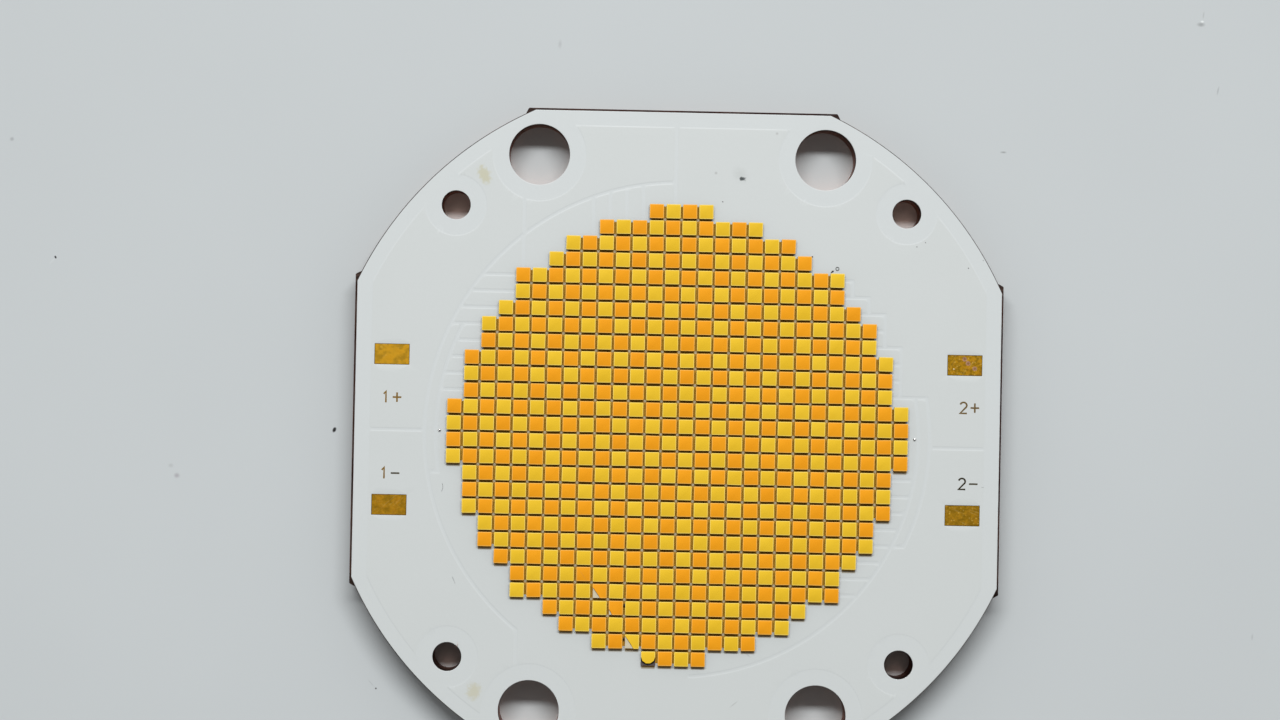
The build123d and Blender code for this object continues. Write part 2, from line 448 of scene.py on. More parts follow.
def round_end(end: Array, side: Array, ahead: Array, offset: float) -> Array:
    """Half a circle of nine points about a groove's end: end + offset * (cos a * side + sin a * ahead)."""
    turn = np.linspace(0, math.pi, 9)[:, None]
    return end + offset * (np.cos(turn) * side + np.sin(turn) * ahead)


@dataclass(frozen=True)
class Groove:
    """A straight groove, by its centre line."""

    start: Pair
    end: Pair

    def distance(self, place: Array) -> Array:
        """Distance from flat points to the centre line, whose ends are round.

        Args:
            place: The points.

        Returns:
            How far each is from the nearest point of the line, start + share * (end - start).
        """
        a, b = np.array(self.start), np.array(self.end)
        along = np.clip(((place - a) @ (b - a)) / ((b - a) @ (b - a)), 0, 1)
        return np.linalg.norm(place - (a + along[..., None] * (b - a)), axis=-1)

    def beside(self, offset: float, step: float) -> Array:
        """Points on both sides of the centre line and round its ends.

        Args:
            offset: Distance from the line.
            step: Distance between points along it.

        Returns:
            The flat points.
        """
        a, b = np.array(self.start), np.array(self.end)
        length = np.linalg.norm(b - a)
        ahead = (b - a) / length
        left = np.array([-ahead[1], ahead[0]])
        share = np.linspace(0, 1, max(2, round(length / step)))[:, None]
        line = a + share * (b - a)
        ends = [round_end(a, left, -ahead, offset), round_end(b, left, ahead, offset)]
        return np.concatenate([line + offset * left, line - offset * left, *ends])


@dataclass(frozen=True)
class RingGroove:
    """A groove along an arc about the board's centre."""

    radius: float
    low: float
    high: float

    def distance(self, place: Array) -> Array:
        """Distance from flat points to the centre line, whose ends are round.

        Args:
            place: The points.

        Returns:
            Within the arc's angles the distance to its circle, and elsewhere to its nearer end.
        """
        x, y = place[..., 0], place[..., 1]
        angle = self.low + np.mod(np.arctan2(y, x) - self.low, math.tau)
        aside = np.abs(np.hypot(x, y) - self.radius)
        tips = [(self.radius * math.cos(a), self.radius * math.sin(a)) for a in (self.low, self.high)]
        ends = [np.hypot(x - tip[0], y - tip[1]) for tip in tips]
        return np.where(angle <= self.high, aside, np.minimum(*ends))

    def beside(self, offset: float, step: float) -> Array:
        """Points on both sides of the centre line and round its ends.

        Args:
            offset: Distance from the line.
            step: Distance between points along it.

        Returns:
            The flat points.
        """
        angle = np.linspace(self.low, self.high, max(2, round((self.high - self.low) * self.radius / step)))
        rows = [polar(self.radius + way * offset, angle) for way in (-1, 1)]
        for a, way in ((self.low, -1), (self.high, 1)):
            out = np.array([math.cos(a), math.sin(a)])
            rows.append(round_end(self.radius * out, out, way * np.array([-out[1], out[0]]), offset))
        return np.concatenate(rows)


@dataclass(frozen=True)
class CircuitPlan:
    """The foil areas under the white coat, as the grooves between them."""

    top_gap: float = -0.38
    slot: float = -9.5
    left_gap: float = 0.0
    right_gap: float = 0.5
    left_fingers: Pair = (-9.5, -2.5)
    right_fingers: Pair = (2.5, 9.5)
    top_fingers: Pair = (-5.32, -2.32)
    left_piece: Pair = (-6.5, 2.5)
    right_piece: Pair = (-2.5, 6.5)
    stubs: Pair = (-9.5, -3.5)
    stub_reach: float = 0.86
    ring_end: float = -86.0
    hidden_rows: float = 1.6

    def grooves(self) -> list[Groove | RingGroove]:
        """Every groove that shows round the light field.

        Returns:
            Single grooves, the arcs of the ring, the fingers and the short stepped ones beside the chips.
        """
        plan = PLAN
        inner, outer = plan.inner_ring, plan.outer_ring
        root = plan.field_radius - self.hidden_rows * plan.pitch
        beyond = plan.radius
        top_x, slot_x = self.top_gap * plan.pitch, self.slot * plan.pitch
        left_y, right_y = plan.row_y(self.left_gap), plan.row_y(self.right_gap)

        def across(row: float, near: float, far: float, side: Side) -> Groove:
            """A groove along a row, from one ring to another."""
            y = plan.row_y(row)
            return Groove((side.value * plan.reach(near, y), y), (side.value * plan.reach(far, y), y))

        def meets(radius: float, row: float) -> float:
            """Angle right of the centre at which a ring meets a row."""
            return math.asin(plan.row_y(row) / radius)

        def numbers(span: Pair) -> Array:
            """The rows or columns from the first to the last of a span."""
            return np.arange(span[0], span[1] + 0.5)

        found = [
            Groove((top_x, root), (top_x, beyond)),
            Groove((slot_x, plan.reach(root, slot_x)), (slot_x, beyond)),
            Groove((slot_x, -beyond), (slot_x, -plan.reach(outer, slot_x))),
            Groove((-beyond, left_y), (-outer, left_y)),
            Groove((outer, right_y), (beyond, right_y)),
            across(self.left_piece[1], inner, outer, Side.LEFT),
            across(self.right_piece[1], inner, outer, Side.RIGHT),
            across(self.right_piece[0], root, outer, Side.RIGHT),
            RingGroove(outer, math.acos(top_x / outer), math.pi + math.acos(-slot_x / outer)),
            RingGroove(outer, meets(outer, self.right_piece[1]), meets(outer, self.right_piece[0])),
            RingGroove(inner, math.radians(self.ring_end), meets(inner, self.right_piece[0])),
            RingGroove(inner, *(math.pi - meets(inner, row) for row in self.left_piece)),
        ]
        for row in numbers(self.left_fingers):
            found.append(across(row, root, outer if row <= self.left_piece[0] else inner, Side.LEFT))
        for row in numbers(self.right_fingers):
            found.append(across(row, root, inner, Side.RIGHT))
        for row in numbers(self.stubs):
            y, end = plan.row_y(row), plan.chips_end(row + 1) + self.stub_reach
            found.append(Groove((plan.reach(root, y), y), (end, y)))
            found.append(Groove((end, y), (end, plan.row_y(row + 1))))
        for column in numbers(self.top_fingers):
            x = column * plan.pitch
            found.append(Groove((x, plan.reach(root, x)), (x, plan.reach(outer, x))))
        return found


# Shader parts that several materials share


class Sheet:
    """A node tree with short calls that add nodes and join sockets."""

    def __init__(self, tree: bpy.types.NodeTree) -> None:
        """Keeps the tree."""
        self.tree = tree

    def feed(self, target: Socket, value: Value) -> None:
        """Gives an input what it takes.

        Args:
            target: The input.
            value: The socket to link to it or else its own value, where a colour gets full opacity.
        """
        if isinstance(value, Socket):
            self.tree.links.new(value, target)
        else:
            target.default_value = (*value, 1.0) if target.type == "RGBA" else value

    def add(self, kind: str, inputs: dict[str | int, Value] | None = None, **settings: Any) -> bpy.types.Node:
        """Adds a node.

        Args:
            kind: Blender's name of the node type.
            inputs: For each input, by name or number, a value or the socket that feeds it.
            settings: Properties of the node itself.

        Returns:
            The node.
        """
        node = self.tree.nodes.new(kind)
        for key, value in settings.items():
            setattr(node, key, value)
        for key, value in (inputs or {}).items():
            self.feed(node.inputs[key], value)
        return node

    def sum(self, way: str, first: Value, second: Value = 0.0, third: Value = 0.0, clamp: bool = False) -> Socket:
        """Works out a value from up to three others."""
        inputs = {0: first, 1: second, 2: third}
        return self.add("ShaderNodeMath", inputs, operation=way, use_clamp=clamp).outputs[0]

    def squares(self, first: Value, second: Value) -> Socket:
        """Adds up the squares of two values."""
        return self.sum("ADD", self.sum("MULTIPLY", first, first), self.sum("MULTIPLY", second, second))

    def vector(self, way: str, first: Value, second: Value) -> Socket:
        """Works out a vector from two others."""
        return self.add("ShaderNodeVectorMath", {0: first, 1: second}, operation=way).outputs[0]

    def split(self, vector: Value) -> Sequence[Socket]:
        """X, Y and Z of a vector."""
        return self.add("ShaderNodeSeparateXYZ", {0: vector}).outputs

    def turned(self, place: Value, angle: Value) -> Socket:
        """Turns a place about Z."""
        inputs = {"Vector": place, "Angle": angle}
        return self.add("ShaderNodeVectorRotate", inputs, rotation_type="Z_AXIS").outputs[0]

    def noise(self, place: Value, scale: Value, detail: Value) -> Socket:
        """Cloudy noise from 0 to 1."""
        return self.add("ShaderNodeTexNoise", {"Vector": place, "Scale": scale, "Detail": detail}).outputs[0]

    def blend(self, share: Value, first: Value, second: Value) -> Socket:
        """Mixes two colours, with a share of the second."""
        return self.add("ShaderNodeMix", {"Factor": share, 6: first, 7: second}, data_type="RGBA").outputs[2]

    def span(
        self, value: Value, low: Value, high: Value, to_low: float = 0.0, to_high: float = 1.0, smooth: bool = True
    ) -> Socket:
        """Stretches the range low..high of a value onto another, and holds it at the ends."""
        inputs = {"Value": value, "From Min": low, "From Max": high, "To Min": to_low, "To Max": to_high}
        way = "SMOOTHSTEP" if smooth else "LINEAR"
        return self.add("ShaderNodeMapRange", inputs, interpolation_type=way).outputs["Result"]

    def group(self, tree: bpy.types.NodeTree, **inputs: Value) -> Socket:
        """Places a node group.

        Args:
            tree: The group.
            inputs: What feeds its inputs, whose names have underscores for spaces.

        Returns:
            The group's output.
        """
        node = self.add("ShaderNodeGroup", node_tree=tree)
        for key, value in inputs.items():
            self.feed(node.inputs[key.replace("_", " ").capitalize()], value)
        return node.outputs[0]


class GroupSheet(Sheet):
    """A shader node group while it is made."""

    def __init__(self, name: str, inputs: dict[str, float | Colour], output: str) -> None:
        """Starts the group.

        Args:
            name: The group's name.
            inputs: For each input its first value, a number or the three of a place.
            output: Name of its output, a number.
        """
        super().__init__(bpy.data.node_groups.new(name, "ShaderNodeTree"))
        for label, value in inputs.items():
            kind = "NodeSocketVector" if isinstance(value, tuple) else "NodeSocketFloat"
            self.tree.interface.new_socket(label, in_out="INPUT", socket_type=kind).default_value = value
        self.tree.interface.new_socket(output, in_out="OUTPUT", socket_type="NodeSocketFloat")
        self.given = self.add("NodeGroupInput").outputs
        self.result = self.add("NodeGroupOutput").inputs[0]

    def close(self, value: Socket) -> bpy.types.NodeTree:
        """Feeds the output and hands over the group."""
        self.feed(self.result, value)
        return self.tree


def make_mottle() -> bpy.types.NodeTree:
    """Makes uneven cloudiness: noise at one scale, spread about the middle by the contrast.

    Returns:
        The node group.
    """
    sheet = GroupSheet("mottle", {"Place": ORIGIN, "Grain": 1000.0, "Detail": 3.0, "Contrast": 1.5}, "Share")
    given = sheet.given
    noise = sheet.sum("SUBTRACT", sheet.noise(given["Place"], given["Grain"], given["Detail"]), 0.5)
    return sheet.close(sheet.sum("MULTIPLY_ADD", noise, given["Contrast"], 0.5, clamp=True))


def make_blot() -> bpy.types.NodeTree:
    """Makes a spot, stain or scratch: 1 inside a turned ellipse, fading over an edge that noise makes ragged.

    A place's reach is the root of (along / half length) squared and (across / half width) squared.

    Returns:
        The node group.
    """
    inputs = {"Place": ORIGIN, "Centre": ORIGIN, "Turn": 0.0, "Half length": MM, "Half width": MM}
    sheet = GroupSheet("blot", {**inputs, "Softness": 0.3, "Raggedness": 0.0, "Grain": 3000.0}, "Mask")
    given = sheet.given
    away = sheet.vector("SUBTRACT", given["Place"], given["Centre"])
    x, y, _ = sheet.split(sheet.turned(away, sheet.sum("MULTIPLY", given["Turn"], -1.0)))
    along = sheet.sum("DIVIDE", x, given["Half length"])
    across = sheet.sum("DIVIDE", y, given["Half width"])
    reach = sheet.sum("SQRT", sheet.squares(along, across))
    noise = sheet.sum("SUBTRACT", sheet.noise(given["Place"], given["Grain"], 2.0), 0.5)
    uneven = sheet.sum("MULTIPLY_ADD", noise, given["Raggedness"], reach)
    inner = sheet.sum("SUBTRACT", 1.0, given["Softness"])
    outer = sheet.sum("ADD", 1.0, given["Softness"])
    return sheet.close(sheet.span(uneven, inner, outer, 1.0, 0.0))


def make_dust() -> bpy.types.NodeTree:
    """Makes sparse fine specks: the middles of random cells, only where a cell's chance is under the amount.

    Returns:
        The node group.
    """
    sheet = GroupSheet("dust", {"Place": ORIGIN, "Cells": 900.0, "Speck size": 0.12, "Amount": 0.2}, "Mask")
    cells = sheet.add("ShaderNodeTexVoronoi", {"Vector": sheet.given["Place"], "Scale": sheet.given["Cells"]})
    speck = sheet.span(cells.outputs["Distance"], 0.0, sheet.given["Speck size"], 1.0, 0.0)
    chance = sheet.add("ShaderNodeSeparateColor", {0: cells.outputs["Color"]}).outputs[0]
    chosen = sheet.sum("LESS_THAN", chance, sheet.given["Amount"])
    return sheet.close(sheet.sum("MULTIPLY", speck, chosen))


def make_scratches() -> bpy.types.NodeTree:
    """Makes fine scratches: noise drawn out along one direction, kept only where it peaks.

    They start where the noise is over 0.7 - 0.3 * amount and are full a little above that.

    Returns:
        The node group.
    """
    inputs = {"Place": ORIGIN, "Turn": 0.0, "Grain": 4000.0, "Draw": 0.05, "Amount": 0.3}
    sheet = GroupSheet("scratches", inputs, "Mask")
    given = sheet.given
    x, y, z = sheet.split(sheet.turned(given["Place"], given["Turn"]))
    drawn = sheet.add("ShaderNodeCombineXYZ", {0: sheet.sum("MULTIPLY", x, given["Draw"]), 1: y, 2: z})
    low = sheet.sum("MULTIPLY_ADD", given["Amount"], -0.3, 0.7)
    high = sheet.sum("ADD", low, 0.08)
    return sheet.close(sheet.span(sheet.noise(drawn.outputs[0], given["Grain"], 3.0), low, high))


MOTTLE = make_mottle()
BLOT = make_blot()
DUST = make_dust()
SCRATCHES = make_scratches()


class Surface(Sheet):
    """A material while it is made."""

    def __init__(self, name: str) -> None:
        """Starts the material of a name."""
        self.material = bpy.data.materials.new(name)
        self.material.use_nodes = True
        super().__init__(self.material.node_tree)
        self.shader = self.tree.nodes["Principled BSDF"]
        self.place = self.add("ShaderNodeTexCoord").outputs["Object"]

    def mottle(self, grain: float, detail: float, contrast: float) -> Socket:
        """Clouds from 0 to 1, by their scale per metre, their detail and their contrast."""
        return self.group(MOTTLE, place=self.place, grain=grain, detail=detail, contrast=contrast)

    def dust(self, cells: float, speck_size: float, amount: float) -> Socket:
        """Specks, by the cells in a metre, a speck's size in its cell and the share of cells that have one."""
        return self.group(DUST, place=self.place, cells=cells, speck_size=speck_size, amount=amount)

    def scratches(self, turn: float, grain: float, draw: float, amount: float) -> Socket:
        """Scratches, by their turn in degrees, scale per metre, how far they are drawn out and their amount."""
        inputs = {"turn": math.radians(turn), "grain": grain, "draw": draw, "amount": amount}
        return self.group(SCRATCHES, place=self.place, **inputs)

    def painted(self, name: str) -> Socket:
        """The attribute of a name that the mesh has at each corner."""
        return self.add("ShaderNodeAttribute", attribute_name=name).outputs["Fac"]

    def from_middle(self, uv_map: str) -> list[Socket]:
        """Distances from the middle of a UV map along both of its axes, 0 to 0.5."""
        across = self.split(self.add("ShaderNodeUVMap", uv_map=uv_map).outputs[0])
        return [self.sum("ABSOLUTE", self.sum("SUBTRACT", across[axis], 0.5)) for axis in (0, 1)]

    def tint(self, colour: Value, mask: Value, strength: float, other: Colour) -> Socket:
        """Lays another colour over one, as strongly as a mask and a strength say."""
        return self.blend(self.sum("MULTIPLY", mask, strength), colour, other)

    def stained(self, colour: Value, spots: Sequence["Spot"]) -> Value:
        """Lays spots over a colour.

        Args:
            colour: The colour.
            spots: The spots, the lowest first.

        Returns:
            The colour with the spots.
        """
        for spot in spots:
            colour = spot.over(self, colour)
        return colour

    def finish(
        self, colour: Value, roughness: Value, height: Socket | None = None, depth: float = 0.0, **others: Value
    ) -> Material:
        """Feeds the shader.

        Args:
            colour: Base colour.
            roughness: Roughness.
            height: Height of the surface's fine relief from 0 to 1, None for a plain surface.
            depth: Depth of that relief in millimetres.
            others: Further inputs of the shader, whose names have underscores for spaces.

        Returns:
            The finished material.
        """
        for name, value in {"Base_Color": colour, "Roughness": roughness, **others}.items():
            self.feed(self.shader.inputs[name.replace("_", " ")], value)
        if height is not None:
            bump = self.add("ShaderNodeBump", {"Height": height, "Distance": depth * MM, "Strength": 1.0})
            self.feed(self.shader.inputs["Normal"], bump.outputs[0])
        return self.material


# Finishes


@dataclass(frozen=True)
class Spot:
    """A stain, smudge or scratch on a surface."""

    x: float
    y: float
    half_length: float
    half_width: float
    colour: Colour
    strength: float = 1.0
    turn: float = 0.0
    softness: float = 0.4
    raggedness: float = 1.0

    def over(self, surface: Surface, colour: Value) -> Socket:
        """Lays the spot over a colour.

        Args:
            surface: The material that it is in.
            colour: The colour below it.

        Returns:
            The colour with the spot.
        """
        mask = surface.group(
            BLOT,
            place=surface.vector("MULTIPLY", surface.place, (1.0, 1.0, 0.0)),
            centre=(self.x * MM, self.y * MM, 0.0),
            turn=math.radians(self.turn),
            half_length=self.half_length * MM,
            half_width=self.half_width * MM,
            softness=self.softness,
            raggedness=self.raggedness,
        )
        return surface.tint(colour, mask, self.strength, self.colour)


@dataclass(frozen=True)
class WhiteCoatFinish:
    """Satin white solder mask: warmer over foil, cooler in the grooves and margins, with stains, fine dust, and
    painted shade between and below the chips.
    """

    over_foil: Colour = (0.600, 0.632, 0.626)
    over_resin: Colour = (0.618, 0.655, 0.660)
    evened: Pair = (0.65, 0.3)
    evened_from: Pair = (-24.0, 8.0)
    cloud: Colour = (0.570, 0.600, 0.600)
    speck: Colour = (0.30, 0.30, 0.29)
    # Painted shade between chips: the gaps' dark orange-brown for the chips' shadow and tinted light, the paler
    # crossings and how far those reach.
    gap: Colour = (0.50, 0.25, 0.012)
    crossing: Colour = (0.64, 0.57, 0.40)
    crossing_reach: Pair = (0.06, 0.17)
    # Painted shadow along the foot of the lower edge chips: its colour, where it starts and ends, and half its
    # width.
    foot: Colour = (0.32, 0.27, 0.19)
    shadow_start: Pair = (0.10, 0.18)
    shadow_end: Pair = (0.26, 0.42)
    shadow_half_width: Pair = (0.60, 0.72)
    grime: Colour = (0.04, 0.04, 0.036)
    roughness: float = 0.46
    rougher_gap: float = 0.4
    spots: tuple[Spot, ...] = (
        Spot(-19.49, 25.21, 0.50, 0.85, (0.52, 0.50, 0.34), 0.75, turn=25.0, softness=0.5, raggedness=1.6),
        Spot(-19.49, -25.55, 0.60, 0.75, (0.54, 0.52, 0.38), 0.7, turn=-15.0, softness=0.5, raggedness=1.6),
        Spot(5.70, 25.75, 0.62, 0.50, (0.50, 0.53, 0.52), 0.55, turn=-40.0, softness=0.9, raggedness=1.2),
        Spot(5.90, 25.33, 0.27, 0.19, (0.06, 0.07, 0.07), 1.0, turn=-12.0, softness=0.45, raggedness=2.4),
        Spot(6.14, 25.40, 0.16, 0.05, (0.14, 0.15, 0.15), 0.8, turn=25.0),
        Spot(23.25, 18.99, 0.08, 0.06, (0.20, 0.21, 0.21), 0.7, raggedness=0.4),
        Spot(29.84, 17.78, 0.07, 0.06, (0.26, 0.27, 0.27), 0.6, raggedness=0.4),
        Spot(30.17, -4.58, 0.12, 0.04, (0.30, 0.31, 0.31), 0.6),
        Spot(-21.67, -14.72, 0.32, 0.05, (0.36, 0.38, 0.38), 0.8, turn=-66.0, raggedness=2.0),
        Spot(7.26, -21.41, 0.45, 0.05, (0.42, 0.44, 0.43), 0.6, turn=-40.0),
        Spot(6.08, -26.34, 0.50, 0.05, (0.42, 0.44, 0.43), 0.6, turn=40.0),
    )

    def below_chips(self, surface: Surface, colour: Value) -> Socket:
        """Paints a shadow: a thin dark line along the near foot of the field's lower edge chips.

        The chip above a place has the number |x| / pitch across and |y| / pitch - 0.2 down, rounded down.

        Args:
            surface: The coat's material.
            colour: The coat's colour.

        Returns:
            The colour with the painted shadow.
        """
        pitch, size = PLAN.pitch, PLAN.chip_size
        place = surface.split(surface.place)
        edges, aways = [], []
        for axis, shift in ((0, 0.0), (1, -0.2)):
            away = surface.sum("ABSOLUTE", place[axis])
            number = surface.sum("FLOOR", surface.sum("MULTIPLY_ADD", away, 1 / (pitch * MM), shift))
            aways.append(surface.sum("MULTIPLY", away, 1 / MM))
            edges.append(surface.sum("MULTIPLY_ADD", number, pitch, (pitch + size) / 2))
        in_field = surface.sum("LESS_THAN", surface.squares(*edges), PLAN.field_radius**2)
        under = surface.sum("MULTIPLY", in_field, surface.sum("LESS_THAN", place[1], 0.0))
        middle = surface.sum("SUBTRACT", edges[0], size / 2)
        across = surface.sum("ABSOLUTE", surface.sum("SUBTRACT", aways[0], middle))
        under = surface.sum("MULTIPLY", under, surface.span(across, *self.shadow_half_width, 1.0, 0.0))
        beyond = surface.sum("SUBTRACT", aways[1], edges[1])
        line = surface.blend(surface.span(beyond, *self.shadow_start), self.gap, self.foot)
        under = surface.sum("MULTIPLY", under, surface.span(beyond, *self.shadow_end, 1.0, 0.0))
        return surface.blend(under, colour, line)

    def between_chips(self, surface: Surface, colour: Value) -> tuple[Socket, Socket]:
        """Paints shade between chips: a dark orange-brown for the chips' shadow and the light that their phosphor
        tints, paler at the crossings, where the next chip outwards still fits in the round field.

        A grid line's number is |x| / pitch, so that the part after the point, less a half, is the distance from it.

        Args:
            surface: The coat's material.
            colour: The coat's colour.

        Returns:
            The colour with the painted shade, and 1 between chips.
        """
        pitch = PLAN.pitch
        place = surface.split(surface.place)
        corners, aside = [], []
        for axis in (0, 1):
            away = surface.sum("ABSOLUTE", place[axis])
            cells = surface.sum("MULTIPLY_ADD", away, 1 / (pitch * MM), 0.2)
            number = surface.sum("FLOOR", cells)
            corners.append(surface.sum("MULTIPLY_ADD", number, pitch, (pitch + PLAN.chip_size) / 2))
            part = surface.sum("SUBTRACT", surface.sum("FRACT", surface.sum("ADD", cells, 0.3)), 0.5)
            aside.append(surface.sum("MULTIPLY", surface.sum("ABSOLUTE", part), pitch))
        between = surface.sum("LESS_THAN", surface.squares(*corners), PLAN.field_radius**2)
        crossing = surface.span(surface.sum("MAXIMUM", *aside), *self.crossing_reach, 1.0, 0.0)
        return surface.blend(between, colour, surface.blend(crossing, self.gap, self.crossing)), between

    def material(self) -> Material:
        """Builds the material.

        The mesh's attribute 'raised' is 1 over foil and 0 in the grooves, and 'grime' is how dirty the coat is.

        Returns:
            The material.
        """
        surface = Surface("white_coat")
        low, high = self.evened_from
        evened = surface.span(surface.split(surface.place)[1], low * MM, high * MM, *self.evened)
        raised = surface.sum("MAXIMUM", surface.painted("raised"), evened)
        colour = surface.blend(raised, self.over_resin, self.over_foil)
        clouds = surface.mottle(grain=160.0, detail=4.0, contrast=2.4)
        colour = surface.tint(colour, clouds, 0.30, self.cloud)
        fine = surface.mottle(grain=5200.0, detail=2.0, contrast=1.6)
        colour = surface.tint(colour, fine, 0.10, self.cloud)
        specks = surface.dust(cells=330.0, speck_size=0.07, amount=0.10)
        colour = surface.tint(colour, specks, 0.55, self.speck)
        # Painted shadow below the lower edge chips, then painted shade between all chips.
        colour = self.below_chips(surface, surface.stained(colour, self.spots))
        colour, between = self.between_chips(surface, colour)
        colour = surface.blend(surface.painted("grime"), colour, self.grime)
        rough = surface.span(clouds, 0.0, 1.0, self.roughness - 0.05, self.roughness + 0.07)
        rough = surface.sum("MULTIPLY_ADD", between, self.rougher_gap, rough)
        peel = surface.mottle(grain=2600.0, detail=2.0, contrast=1.0)
        return surface.finish(colour, rough, peel, 0.004)


@dataclass(frozen=True)
class PhosphorFinish:
    """Silicone loaded with phosphor: matte, faintly cloudy, with a paler line along a chip's top edges as a painted
    highlight, and dark walls as painted shade.
    """

    name: str
    colour: Colour
    deep: Colour
    # edge is a paler colour painted along the top's edges as a highlight; side is a dark colour painted on the
    # walls as shade.
    edge: Colour
    side: Colour
    roughness: float = 0.62
    specular: float = 0.15
    rim: Pair = (0.435, 0.485)
    spots: tuple[Spot, ...] = ()

    def material(self) -> Material:
        """Builds the material.

        The mesh's attribute 'tone' is a chip's own shade from 0 to 1, 'side' is 1 on walls, which take the dark
        colour of painted shade, and the UV map runs over a chip's top.

        Returns:
            The material.
        """
        surface = Surface(self.name)
        clouds = surface.mottle(grain=1500.0, detail=3.0, contrast=2.0)
        shade = surface.sum("MULTIPLY_ADD", surface.painted("tone"), 0.65, surface.sum("MULTIPLY", clouds, 0.35))
        colour = surface.blend(shade, self.colour, self.deep)
        # Painted highlight: a paler line along the top's edges.
        rim = surface.span(surface.sum("MAXIMUM", *surface.from_middle("chip_top")), *self.rim)
        colour = surface.tint(colour, rim, 0.7, self.edge)
        grains = surface.dust(cells=2600.0, speck_size=0.35, amount=0.12)
        colour = surface.stained(surface.tint(colour, grains, 0.22, self.deep), self.spots)
        # Painted shade: the walls take the dark side colour.
        colour = surface.blend(surface.painted("side"), colour, self.side)
        grit = surface.mottle(grain=9000.0, detail=2.0, contrast=1.4)
        return surface.finish(colour, self.roughness, grit, 0.004, Specular_IOR_Level=self.specular)


@dataclass(frozen=True)
class GoldFinish:
    """Thin gold plating over copper: mottled where it has tarnished, with fine scratches and a dark outline that is
    painted shade along the coat's edge.
    """

    name: str
    bright: Colour
    dull: Colour
    mottling: float
    glints: float
    streak_turn: float
    roughness: float = 0.40
    relief: float = 0.008
    spots: tuple[Spot, ...] = ()
    grain: Colour = (0.17, 0.105, 0.006)
    glint: Colour = (0.95, 0.68, 0.16)
    streak: Colour = (0.85, 0.62, 0.22)
    # Painted shade along the pad's edge under the coat: its colour, and its widths at the ends and the sides as
    # shares of the pad's length and width.
    rim: Colour = (0.075, 0.045, 0.010)
    shade_widths: Pair = (0.024, 0.040)

    def material(self) -> Material:
        """Builds the material, whose UV map runs over the pad.

        Returns:
            The material.
        """
        surface = Surface(self.name)
        patches = surface.mottle(grain=1500.0, detail=5.0, contrast=3.2)
        colour = surface.tint(self.bright, patches, 0.8, self.dull)
        grains = surface.mottle(grain=4200.0, detail=2.0, contrast=7.0)
        colour = surface.tint(colour, grains, self.mottling, self.grain)
        glints = surface.dust(cells=4600.0, speck_size=0.5, amount=0.35)
        colour = surface.tint(colour, glints, self.glints, self.glint)
        lines = surface.scratches(turn=-self.streak_turn, grain=6500.0, draw=0.10, amount=0.35)
        colour = surface.tint(colour, lines, 0.16, self.streak)
        # Painted shade: a dark outline round the pad.
        sides = zip(surface.from_middle("pad_top"), self.shade_widths)
        shade_lines = [surface.span(aside, 0.5 - width, 0.5 - width / 2) for aside, width in sides]
        colour = surface.tint(colour, surface.sum("MAXIMUM", *shade_lines), 0.8, self.rim)
        rough = surface.span(patches, 0.0, 1.0, self.roughness, self.roughness + 0.2)
        return surface.finish(surface.stained(colour, self.spots), rough, patches, self.relief, Metallic=0.9)


@dataclass(frozen=True)
class CopperFinish:
    """Copper plate: rolled grain on its faces, tarnished to brown where it was routed and snapped, with painted
    shade and light laid on through that tarnish.
    """

    clean: Colour = (0.80, 0.52, 0.43)
    worn: Colour = (0.66, 0.42, 0.33)
    tarnish: Colour = (0.044, 0.029, 0.026)
    glancing: Colour = (0.41, 0.30, 0.285)
    roughness: float = 0.27

    def material(self, name: str, tarnished: float) -> Material:
        """Builds the material.

        Args:
            name: The material's name.
            tarnished: How much of the edge is tarnished, 0 to 1; the mesh's attribute 'cut', tarnish with painted
                shade and light, is 1 on cut edges.

        Returns:
            The material.
        """
        surface = Surface(name)
        clouds = surface.mottle(grain=120.0, detail=5.0, contrast=2.2)
        colour = surface.tint(self.clean, clouds, 0.6, self.worn)
        rolled = surface.scratches(turn=0.0, grain=3000.0, draw=0.02, amount=0.75)
        colour = surface.tint(colour, rolled, 0.22, self.worn)
        stains = surface.mottle(grain=420.0, detail=4.0, contrast=3.0)
        stained = surface.span(stains, 0.0, 1.0, tarnished * 0.9, tarnished)
        colour = surface.blend(surface.sum("MULTIPLY", surface.painted("cut"), stained), colour, self.tarnish)
        rough = surface.span(clouds, 0.0, 1.0, self.roughness - 0.06, self.roughness + 0.16)
        return surface.finish(colour, rough, rolled, 0.006, Metallic=1.0, Specular_Tint=self.glancing)


@dataclass(frozen=True)
class PlainFinish:
    """A finish of one tint that clouds and specks break up."""

    name: str
    colour: Colour
    second: Colour
    speck: Colour
    grain: float = 2500.0
    metallic: float = 0.0
    roughness: float = 0.5
    depth: float = 0.004
    spots: tuple[Spot, ...] = ()

    def material(self) -> Material:
        """Builds the material.

        Returns:
            The material.
        """
        surface = Surface(self.name)
        clouds = surface.mottle(grain=self.grain, detail=4.0, contrast=2.2)
        colour = surface.blend(clouds, self.colour, self.second)
        specks = surface.dust(cells=self.grain * 1.6, speck_size=0.3, amount=0.2)
        colour = surface.stained(surface.tint(colour, specks, 0.5, self.speck), self.spots)
        rough = surface.span(clouds, 0.0, 1.0, self.roughness - 0.06, self.roughness + 0.06)
        return surface.finish(colour, rough, clouds, self.depth, Metallic=self.metallic)


# Sub-assemblies


